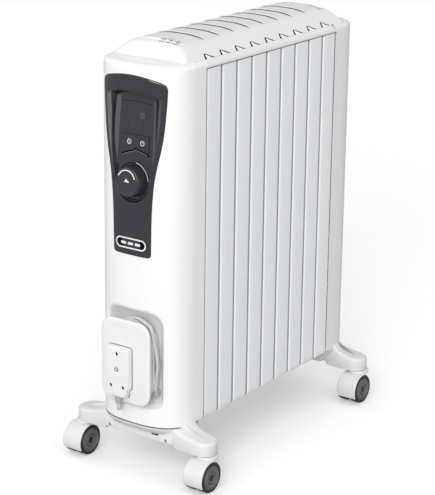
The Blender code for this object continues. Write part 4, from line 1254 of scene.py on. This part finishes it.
# ------------------------------------------------------------------ cord store
def winder():
    """Plate and oval drum that the lead is wound on."""
    rings = []
    for y, inset in ((WINDER_FRONT_Y, 0.0046), (WINDER_FRONT_Y + 0.0001, 0.0030),
                     (WINDER_FRONT_Y + 0.0005, 0.0016),
                     (WINDER_FRONT_Y + 0.0012, 0.0006), (WINDER_FRONT_Y + 0.0022, 0.0),
                     (WINDER_FRONT_Y + 0.0034, 0.0),
                     (WINDER_FRONT_Y + 0.0040, 0.0003), (WINDER_FRONT_Y + 0.0042, 0.0010)):
        outline = rounded(0.0462 - inset, 0.0675 - inset, 0.0215 - inset, (-0.0015, WINDER_Z + 0.0013), 14)
        rings.append([(x, y, z) for x, z in outline])
    plate = piece("winder_plate", *rings_mesh(rings), WHITE_SATIN_PAINTED_SHADE, sharp=50, slot="white_plastic")
    drum = tool_prism(rounded(0.029, 0.051, 0.029, (0, RECESS_Z), 14), WINDER_FRONT_Y + 0.003,
                      RECESS_FLOOR_Y - 0.0003)
    boolean(plate, [drum], "UNION")
    smooth(plate, 50)
    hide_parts("cord_winder")


def cord_route():
    """Centreline from the collar, round the drum in three layers."""
    route = [Vector(p) for p in ((0.0416, -0.2530, 0.1482), (0.0422, -0.2535, 0.1560),
                                 (0.0440, -0.2545, 0.1680),
                                 (0.0461, -0.2555, 0.1820), (0.0474, -0.2565, 0.1980),
                                 (0.0474, -0.2575, 0.2150))]
    layers = ((0.0314, (-0.2492, -0.2570)), (0.0364, (-0.2655, -0.2565)),
              (0.0414, (-0.2490, -0.2655, -0.2575)))
    turns = [(radius, depth) for radius, depths in layers for depth in depths]
    total = len(turns)
    last = total * CORD_PER_TURN - int(CORD_PER_TURN * 0.45)
    for i in range(4, last + 1):
        turn = i / CORD_PER_TURN
        k = min(int(turn), total - 1)
        t = turn - k
        radius, depth = turns[k]
        if k + 1 < total:
            blend = ease((t - 0.60) / 0.40)
            radius += (turns[k + 1][0] - radius) * blend
            depth += (turns[k + 1][1] - depth) * blend
        if k == 0:
            blend = ease((t - 0.10) / 0.50)
            radius = 0.0465 + (radius - 0.0465) * blend
            depth = -0.2580 + (depth + 0.2580) * blend
        # the drum is two half rounds; outer layers sag less over its top
        c, s = cos(2 * pi * t), sin(2 * pi * t)
        centre = DRUM_HALF + 0.65 * max(0.0, radius - 0.0314) if s > 0 else -DRUM_HALF
        route.append(Vector((radius * c, depth, RECESS_Z + centre + radius * s)))
    return route


def smooth_line(points, steps):
    """Smooth curve through points."""
    result = []
    for i in range(len(points) - 1):
        before, here = points[max(i - 1, 0)], points[i]
        there, after = points[i + 1], points[min(i + 2, len(points) - 1)]
        for step in range(steps):
            t = step / steps
            result.append(0.5 * (2 * here + (there - before) * t
                                 + (2 * before - 5 * here + 4 * there - after) * t * t
                                 + (3 * here - before - 3 * there + after) * t ** 3))
    result.append(points[-1])
    return result


def even(points, step):
    """The same line, with points evenly spaced about a step apart."""
    length = sum((b - a).length for a, b in zip(points, points[1:]))
    count = max(2, int(round(length / step)) + 1)
    return [Vector(p) for p in resampled([tuple(p) for p in points], count)]


def cord():
    """The mains lead: round the drum, down in a loop and up into the plug."""
    across, sideways = Vector((0, 1, 0)), Vector((0.818, 0.575, 0))
    plug_y, bend = -0.2805, 0.0130
    back = Vector((-0.575, 0.818, 0.0))
    front = Vector((PLUG_X, plug_y, 0.1210))
    start = front + back * (2 * bend)
    tail = [Vector((-0.0372, -0.2585, 0.1430)), Vector((-0.0310, -0.2590, 0.1330)),
            Vector((start.x - 0.0018, start.y, 0.1260))]
    for i in range(9):
        angle = pi * i / 8
        tail.append(front + back * (bend + bend * cos(angle)) - Vector((0, 0, bend * sin(angle) * 0.72)))
    tail += [Vector((PLUG_X, plug_y, 0.1240)), Vector((PLUG_X, plug_y, 0.1275))]
    line = even(smooth_line(cord_route()[::2] + tail, 6), 0.0030)
    total = len(line)
    # where the tail begins, the flat lead turns from lying on the drum to lying across the plate
    turn_start = next(i for i in range(total - 1, 0, -1) if line[i].x < -0.030)
    turn_end = next(i for i in range(turn_start, total) if line[i].x > PLUG_X - 0.012)
    half_width, half_thick = CORD_WIDTH / 2, 0.00215
    section = []
    for i in range(20):
        angle = 2 * pi * i / 20
        u = half_width * cos(angle)
        waist = 0.72 + 0.28 * min(1.0, abs(cos(angle)) * 2.2)
        edge = copysign(abs(sin(angle)) ** 0.85, sin(angle))
        section.append((u, half_thick * edge * waist))
    rings, path = [], []
    for i, point in enumerate(line):
        before, after = line[max(i - 1, 0)], line[min(i + 1, total - 1)]
        tangent = (after - before).normalized()
        share = ease((i - turn_start) / max(1, turn_end - turn_start))
        wide = across.lerp(sideways, share)
        wide = (wide - tangent * wide.dot(tangent)).normalized()
        thin = tangent.cross(wide).normalized()
        rings.append([tuple(point + wide * u + thin * v) for u, v in section])
        path.append((point.x, point.y + SHIFT, point.z))
    lead = piece("mains_lead", *rings_mesh(rings), CORD, sharp=60, slot="grey_cord")
    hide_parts("cord_lead_in", "cord_coil", "cord_free_end")
    relief = strain_relief(plug_y)
    body = plug()


def cord_entry():
    """Small collar where the lead comes out of the cord store's wall."""
    rings = [[(x, y, z) for x, y in rounded(0.0040 - inset, 0.0062 - inset, 0.0026, (0.0416, -0.2505), 5)]
             for z, inset in ((0.1400, 0.0010), (0.1408, 0.0), (0.1480, 0.0), (0.1488, 0.0010))]
    collar = piece("cord_collar", *rings_mesh(rings), RELIEF, sharp=50, slot="grey_cord")
    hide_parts("cord_gland")


def strain_relief(plug_y):
    """Ribbed sleeve under the plug."""
    rings = []
    for i in range(25):
        t = i / 24
        z = 0.1374 - 0.0130 * t
        groove_and_shadow = 0.0005 * (1 - cos(2 * pi * t * 4)) / 2
        w, d = 0.0062 - 0.0018 * t - groove_and_shadow, 0.0044 - 0.0009 * t - groove_and_shadow
        rings.append([(x, y, z) for x, y in rounded(w, d, 0.0022, (PLUG_X, plug_y), 4)])
    relief = piece("plug_strain_relief", *rings_mesh(rings), RELIEF, sharp=50, slot="grey_cord")
    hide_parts("cord_strain_relief")
    return relief


def plug():
    """Plug docked on the winder's plate, with painted shade in its pin holes and a painted shadow round its
    base.
    """
    back = WINDER_FRONT_Y - 0.0003
    front = back - 0.0110

    def shape(inset):
        """Outline of the plug's body, drawn in by inset."""
        corners = [(-0.0215, 0.1520), (-0.0170, 0.1465), (-0.0160, 0.1370), (0.0160, 0.1370),
                   (0.0170, 0.1465), (0.0215, 0.1520), (0.0215, 0.2175), (-0.0215, 0.2175)]
        radii = [0.0020, 0.0020, 0.0025, 0.0025, 0.0020, 0.0020, 0.0030, 0.0030]
        return filleted(corners, radii, inset)
    rings = []
    for y, inset in ((back, 0.0), (front + 0.0030, 0.0), (front + 0.0014, 0.0003), (front + 0.0006, 0.0008),
                     (front + 0.0002, 0.0014), (front, 0.0022)):
        rings.append([(x + PLUG_X, y, z) for x, z in shape(inset)])
    body = piece("plug_body", *rings_mesh(rings), WHITE_SATIN_PAINTED_SHADE, sharp=50, slot="white_plastic")
    holes, hole_shade = [], []
    for x, z in ((0.0005, 0.2075), (-0.0112, 0.1545), (0.0122, 0.1545)):
        outline = [(PLUG_X + x + 0.0022 * c, z + 0.0030 * s - 0.0008 * c) for c, s in circle(0, 0, 1, 20)]
        holes.append(tool_prism(outline, front - 0.005, front + 0.0050))
        hole_shade.append(tool_prism(outline, front + 0.0008, front + 0.0052))
    boolean(body, [merged(holes)])
    smooth(body, 50)
    # painted shade: dark discs at the bottoms of the pin holes
    piece("plug_hole_painted_shade", *merged(hole_shade), NEAR_BLACK_AND_SHADE, sharp=30, slot="black_bakelite")
    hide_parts("mains_plug")
    ring = [[(PLUG_X + u, front + lift, 0.1820 + v * 0.8) for u, v in circle(0, 0, radius, 24)] for radius,
            lift in ((0.0024, 0.0002), (0.0024, -0.0003), (0.0040, -0.0003), (0.0040, 0.0002))]
    piece("plug_ring_mark", *hoop(ring), PRINT_GREY_AND_SHADE, sharp=40, slot="grey_cord")
    # painted shadow: a dark ring round the plug's base on the plate
    line = [[(x + PLUG_X, back - out, z) for x, z in shape(-grow)] for grow,
            out in ((0.0001, 0.0001), (0.0001, 0.0004), (0.0010, 0.0004), (0.0010, 0.0001))]
    piece("plug_seat_painted_shadow", *hoop(line), PRINT_GREY_AND_SHADE, sharp=30, slot="grey_cord")
    return body


def filleted(corners, radii, inset):
    """Closed outline with rounded corners, moved inwards by inset."""
    count = len(corners)
    points = []
    for i in range(count):
        a, b, c = Vector(corners[i - 1]), Vector(corners[i]), Vector(corners[(i + 1) % count])
        u, v = (a - b).normalized(), (c - b).normalized()
        half = u.angle(v) / 2
        radius = max(radii[i], inset + 0.0005)
        centre = b + (u + v).normalized() * (radius / sin(half))
        reach = radius / tan(half)
        start, stop = b + u * reach, b + v * reach
        first = atan2(start.y - centre.y, start.x - centre.x)
        sweep = (atan2(stop.y - centre.y, stop.x - centre.x) - first + pi) % (2 * pi) - pi
        for k in range(7):
            angle = first + sweep * k / 6
            points.append((centre.x + (radius - inset) * cos(angle),
                           centre.y + (radius - inset) * sin(angle)))
    return points


# ------------------------------------------------------------------ feet
FLARE = ((0.0, 0.0955), (0.0025, 0.0912), (0.0080, 0.0853), (0.0150, 0.0816), (0.0230, 0.0794),
         (0.0330, 0.0779), (0.0430, 0.0768), (0.0530, 0.0756))
LOW_FLARE = ((0.0, 0.0873), (0.0030, 0.0862), (0.0080, 0.0836), (0.0150, 0.0810), (0.0230, 0.0793),
             (0.0330, 0.0779), (0.0430, 0.0768), (0.0530, 0.0756))


def cover_half_width(y):
    """Half of the cover's width at y."""
    share = max(0.0, min(1.0, (-(BODY_HALF_DEPTH - END_DEPTH) - y) / END_DEPTH))
    return HALF_WIDTH * (1 - share ** END_POWER) ** (1 / END_POWER)


def wing_top(x, y):
    """Upper face of a foot's arm: a concave flare up to the cover's side, flat towards the tip."""
    outward = abs(x) - cover_half_width(y)
    rise = ease((y + 0.2330) / 0.0200)
    return table(outward, LOW_FLARE) * (1 - rise) + table(outward, FLARE) * rise


def arm_bottom(x):
    """Underside of a foot: higher between the arms, behind the crossbar."""
    return FOOT_BOTTOM + (CROSSBAR_BOTTOM - FOOT_BOTTOM) * ease((0.0690 - abs(x)) / 0.0070)


def foot(name, turned):
    """Winged foot: an arm with round ends and concave flares, under a riser that fits the cover."""
    place = Matrix.Translation((0, SHIFT, 0))
    if turned:
        place = place @ Matrix.Rotation(pi, 4, "Z")
    corner = 0.0195
    straight = FOOT_TIP_X - corner
    plan = []
    for side in (1, -1):
        for i in range(17):
            angle = pi * (i / 16 - 0.5)
            plan.append((side * (straight + corner * cos(angle)),
                         -FOOT_Y + side * FOOT_HALF_DEPTH * sin(angle)))
        for i in range(1, 70):
            x = side * straight * (1 - 2 * i / 70)
            plan.append((x, -FOOT_Y + side * FOOT_HALF_DEPTH))
    rings = [[(x, y, arm_bottom(x) + lift) for x, y in inset_ring(plan, inset)] for inset,
             lift in ((0.0192, 0.0), (0.0018, 0.0), (0.0006, 0.0004), (0.0, 0.0016))]
    for inset, drop in ((0.0, 0.0050), (0.0003, 0.0030), (0.0012, 0.0013), (0.0026, 0.0004), (0.0044, 0.0),
                        (0.0075, 0.0), (0.0110, 0.0), (0.0145, 0.0), (0.0175, 0.0), (0.0192, 0.0)):
        rings.append([(x, y, wing_top(x, y) - drop) for x, y in inset_ring(plan, inset)])
    shell = piece(name + "_shell", *rings_mesh(rings), FOOT_WHITE_PAINTED_SHADE, place=place, slot="white_plastic")
    riser = []
    for inset, z, front in ((0.0200, 0.0625, -0.2410), (0.0165, 0.0632, -0.2430), (0.0130, 0.0690, -0.2440),
                            (0.0100, 0.0738, -0.2452), (0.0090, 0.0742, -0.2475), (0.0040, 0.0795, -0.2560),
                            (0.0014, 0.0832, -0.2600), (0.0004, 0.0850, -0.2600), (0.0001, 0.0862, -0.2600),
                            (0.0003, 0.0870, -0.2600), (0.0012, 0.0876, -0.2600)):
        riser.append([(x, min(max(y, front), -0.1900), z) for x, y in end_outline(inset, 121)])
    other = piece("tool", *rings_mesh(riser), None, body=None, place=place)
    boolean(shell, [other], "UNION")
    smooth(shell, 40)
    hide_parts(name)


def cover_gap():
    """Dark strip that paints the shade in the parting line between the front cover's lower edge and the
    foot's riser.
    """
    rings = [[(x, y, z) for x, y in end_outline(inset, 121)[6:-6]] for inset,
             z in ((0.0030, 0.0870), (0.0001, 0.0870), (0.0001, 0.0878), (0.0030, 0.0878))]
    points = [point for ring in rings for point in ring]
    count = len(rings[0])
    faces = grid_faces(4, count)
    faces += [(3 * count + i, 3 * count + i + 1, i + 1, i) for i in range(count - 1)]
    faces += [(0, count, 2 * count, 3 * count), (4 * count - 1, 3 * count - 1, 2 * count - 1, count - 1)]
    piece("cover_gap_painted_shade", points, faces, PRINT_GREY_AND_SHADE, sharp=30, slot="dark_plastic")


def crossbar():
    """Straight bar across the front foot, with a small slot in its upper edge whose shade is painted by a
    dark block.
    """
    rings = []
    for y, inset in ((-0.2380, 0.0), (-0.2443, 0.0), (-0.2450, 0.0003), (-0.2453, 0.0010)):
        outline = rounded(0.0657 - inset, 0.0059 - inset, 0.0014, (0, CROSSBAR_BOTTOM + 0.0062), 4)
        rings.append([(x, y, z) for x, z in outline])
    bar_piece = piece("crossbar_shell", *rings_mesh(rings), FOOT_WHITE_PAINTED_SHADE, sharp=50, slot="white_plastic")
    boolean(bar_piece, [tool_prism([(0.0275, 0.0706), (0.0400, 0.0706), (0.0400, 0.0760), (0.0275, 0.0760)],
                                   -0.2500, -0.2446)])
    smooth(bar_piece, 50)
    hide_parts("foot_crossbar")
    # painted shade: a dark block inside the slot
    slot = tool_prism([(0.0275, 0.0704), (0.0400, 0.0704), (0.0400, 0.0732), (0.0275, 0.0732)], -0.2449,
                      -0.2425)
    piece("crossbar_slot_painted_shade", *slot, NEAR_BLACK_AND_SHADE, slot="dark_plastic")


def screws():
    """Cross-head screws in the crossbar, each cross recess shown as a flat dark cross of painted shade."""
    for side, label in ((-1, "left"), (1, "right")):
        centre = (side * 0.055, 0.0662)
        profile = [(0.0, 0.0038), (0.0027, 0.0038), (0.0027, 0.0003), (0.0024, 0.0), (0.0, -0.0001)]
        place = Matrix.Translation((centre[0], -0.2456 + SHIFT, centre[1])) @ Matrix.Rotation(-pi / 2, 4, "X")
        head = piece("crossbar_screw_head_" + label, *lathe(profile, 28), ZINC, place=place, sharp=40,
                     slot="zinc_steel")
        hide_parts("crossbar_screw_" + label)
        # painted shade: the cross recess is a flat dark cross on the head
        cross = []
        for angle in (0.4, 0.4 + pi / 2):
            dx, dz = 0.0017 * cos(angle), 0.0017 * sin(angle)
            outline = bar(centre[0] - dx, centre[1] - dz, centre[0] + dx, centre[1] + dz, 0.0006)
            cross.append(tool_prism(outline, -0.24572, -0.2450))
        piece("crossbar_screw_recess_shade_" + label, *merged(cross), PRINT_GREY_AND_SHADE, slot="dark_plastic")


# ------------------------------------------------------------------ casters
def caster(tag, x, y):
    """Twin-wheel caster: hood with neck and web, two tyres and two discs."""
    place = Matrix.Translation((x, y - CASTER_TRAIL + SHIFT, WHEEL_RADIUS))
    first, last, steps = radians(-118), radians(82), 34
    rings = []
    for w, radius in ((-HOOD_HALF_WIDTH, 0.0250), (-HOOD_HALF_WIDTH + 0.0008, 0.0259),
                      (-HOOD_HALF_WIDTH + 0.0025, HOOD_RADIUS),
                      (0.0, HOOD_RADIUS + 0.0003), (HOOD_HALF_WIDTH - 0.0025, HOOD_RADIUS),
                      (HOOD_HALF_WIDTH - 0.0008, 0.0259), (HOOD_HALF_WIDTH, 0.0250)):
        ring = []
        for a, b, r in ((first, last, radius), (last, first, 0.0246)):
            for i in range(steps + 1):
                angle = a + (b - a) * i / steps
                ring.append((w, r * sin(angle), r * cos(angle)))
        rings.append(ring)
    hood = piece(tag + "_hood_shell", *rings_mesh(rings), FOOT_WHITE_PAINTED_SHADE, body=tag + "_swivel", place=place,
                 slot="white_plastic")
    web = [(0.0250 * cos(radians(a)), 0.0250 * sin(radians(a))) for a in range(5, 200, 10)]
    web += [(-0.0060, -0.0100), (0.0, -0.0120), (0.0060, -0.0100)]
    web_tool = piece("tool", *rings_mesh([[(w, a, b) for a, b in web] for w in (-0.0026, 0.0026)]), None,
                     body=None, place=place)
    neck = lathe([(0.0155, 0.0235), (0.0165, 0.0245), (0.0172, 0.0262), (0.0172, 0.0288), (0.0166, 0.0296)],
                 48)
    neck_points = [(u, v + CASTER_TRAIL, z) for u, v, z in neck[0]]
    neck_tool = piece("tool", neck_points, neck[1], None, body=None, place=place)
    boolean(hood, [web_tool, neck_tool], "UNION")
    remesh(hood, 0.0006, 3)
    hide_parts(tag + "_caster_hood")
    for side, label in ((-1, "left"), (1, "right")):
        name = "%s_wheel_%s" % (tag, label)
        tread = [(0.0024, 0.0034), (0.0205, 0.0034), (0.0228, 0.0040), (0.0238, 0.0052), (0.0240, 0.0070),
                 (0.0240, 0.0160), (0.0238, 0.0176), (0.0231, 0.0189), (0.0220, 0.0196), (0.0211, 0.0195),
                 (0.0205, 0.0189), (0.0201, 0.0183), (0.0024, 0.0183)]
        rim = piece(name + "_tyre", *lathe([(r, side * h) for r, h in tread], 72, "X"), WHEEL, body=name,
                    place=place, sharp=40, slot="wheel_rubber")
        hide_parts("%s_caster_wheel_%s" % (tag, label))
        disc = [(0.0, 0.0176), (0.0192, 0.0176), (0.0192, 0.0186), (0.0186, 0.0193), (0.0176, 0.0194),
                (0.0170, 0.0184),
                (0.0158, 0.0184), (0.0152, 0.0192), (0.0110, 0.0190), (0.0104, 0.0181), (0.0092, 0.0181),
                (0.0086, 0.0189), (0.0062, 0.0189), (0.0056, 0.0182), (0.0, 0.0182)]
        piece(name + "_disc", *lathe([(r, side * h) for r, h in disc], 72, "X"), WHEEL_FACE, body=name,
              place=place, sharp=35, slot="wheel_rubber")


# ------------------------------------------------------------------ carried-over CAD pieces
def dress_cad():
    """Materials for the CAD nodes that stay in view."""
    finishes = {"white_plastic": WHITE, "white_enamel": ENAMEL, "dark_plastic": CHARCOAL, "smoked_lens": LENS,
                "grey_cord": CORD, "wheel_rubber": WHEEL, "zinc_steel": ZINC, "circuit_board": BOARD,
                "black_bakelite": BLACK}
    slots = {row["node"]: row["material_slot"] for row in frame["record"]["subparts"]}
    for name, obj in frame["nodes"].items():
        for place in obj.material_slots:
            place.material = finishes[slots[name]]


# ------------------------------------------------------------------ stage
FLOOR_HALF = 6.0
FLOOR_GLOW = 0.22                # what the camera sees besides the lit floor
FLOOR_BOUNCE = 0.50              # how much of the light the floor sends back
ROOM_AXIS = (-0.22, 0.90, 0.50)
ROOM_FRONT, ROOM_BACK = 0.95, 0.57
KEY_FROM = Vector((0.46, -0.80, 0.39))
KEY_POWER, KEY_SPREAD = 1.36, radians(30)
FRONT_LIGHT_AT, FRONT_LIGHT_AIM = Vector((0.30, -1.9, 1.75)), Vector((0, -0.2, 0.55))
FRONT_LIGHT_SIZE, FRONT_LIGHT_POWER = (1.0, 0.6), 8


def stage():
    """Pale floor, soft room and two soft lights."""
    mesh = bpy.data.meshes.new("floor")
    corners = [(u * FLOOR_HALF, v * FLOOR_HALF, 0) for u, v in ((-1, -1), (1, -1), (1, 1), (-1, 1))]
    mesh.from_pydata(corners, [], [(0, 1, 2, 3)])
    floor = added("floor", mesh)
    # the floor looks like a bright studio sweep, but throws less light back up at the heater
    m = Nodes("studio_floor")
    m.set(Base_Color=(0.90, 0.90, 0.90, 1.0), Roughness=0.9, Emission_Color=(1.0, 1.0, 1.0, 1.0),
          Emission_Strength=FLOOR_GLOW)
    mix, path = m.add("ShaderNodeMixShader"), m.add("ShaderNodeLightPath")
    dim = m.add("ShaderNodeBsdfDiffuse")
    dim.inputs["Color"].default_value = (FLOOR_BOUNCE, FLOOR_BOUNCE, FLOOR_BOUNCE, 1.0)
    m.link(path, "Is Camera Ray", mix, "Fac")
    m.tree.links.new(dim.outputs["BSDF"], mix.inputs[1])
    m.tree.links.new(m.shader.outputs["BSDF"], mix.inputs[2])
    m.tree.links.new(mix.outputs["Shader"], m.tree.nodes["Material Output"].inputs["Surface"])
    mesh.materials.append(m.material)
    world = bpy.data.worlds.new("studio")
    world.use_nodes = True
    tree = world.node_tree
    background = tree.nodes["Background"]
    background.inputs["Color"].default_value = (1.0, 1.0, 1.0, 1.0)
    # the room is a little brighter in front of the heater than behind it
    coordinates = tree.nodes.new("ShaderNodeTexCoord")
    along = tree.nodes.new("ShaderNodeVectorMath")
    along.operation = "DOT_PRODUCT"
    along.inputs[1].default_value = ROOM_AXIS
    fall = tree.nodes.new("ShaderNodeMapRange")
    for socket, value in (("From Min", -1.0), ("From Max", 1.0), ("To Min", ROOM_FRONT),
                          ("To Max", ROOM_BACK)):
        fall.inputs[socket].default_value = value
    tree.links.new(coordinates.outputs["Generated"], along.inputs[0])
    tree.links.new(along.outputs["Value"], fall.inputs["Value"])
    tree.links.new(fall.outputs["Result"], background.inputs["Strength"])
    bpy.context.scene.world = world
    data = bpy.data.lights.new("key", "SUN")
    data.energy, data.angle = KEY_POWER, KEY_SPREAD
    light = added("key", data)
    light.rotation_euler = (-KEY_FROM).to_track_quat("-Z", "Y").to_euler()
    data = bpy.data.lights.new("front", "AREA")
    data.shape, data.energy = "RECTANGLE", FRONT_LIGHT_POWER
    data.size, data.size_y = FRONT_LIGHT_SIZE
    light = added("front", data)
    light.location = FRONT_LIGHT_AT
    light.rotation_euler = (FRONT_LIGHT_AIM - light.location).to_track_quat("-Z", "Y").to_euler()
    bpy.context.scene.view_settings.view_transform = "Standard"


# ------------------------------------------------------------------ build
dress_cad()
front_cover()
rear_cover()
control_panel()
display_window()
keys()
key_contour()
display_marks()
panel_edge()
pocket_highlight_strips()
knob()
badge()
top_cover()
vent_facets()
slot_painted_shade()
slot_shade_sheet()
rails()
grip_marks()
fins()
stack_gaps()
winder()
cord()
cord_entry()
foot("front_foot", False)
foot("rear_foot", True)
cover_gap()
crossbar()
screws()
for end, along in (("front", -CASTER_Y), ("rear", CASTER_Y)):
    caster(end + "_left", -CASTER_X, along)
    caster(end + "_right", CASTER_X, along)
stage()
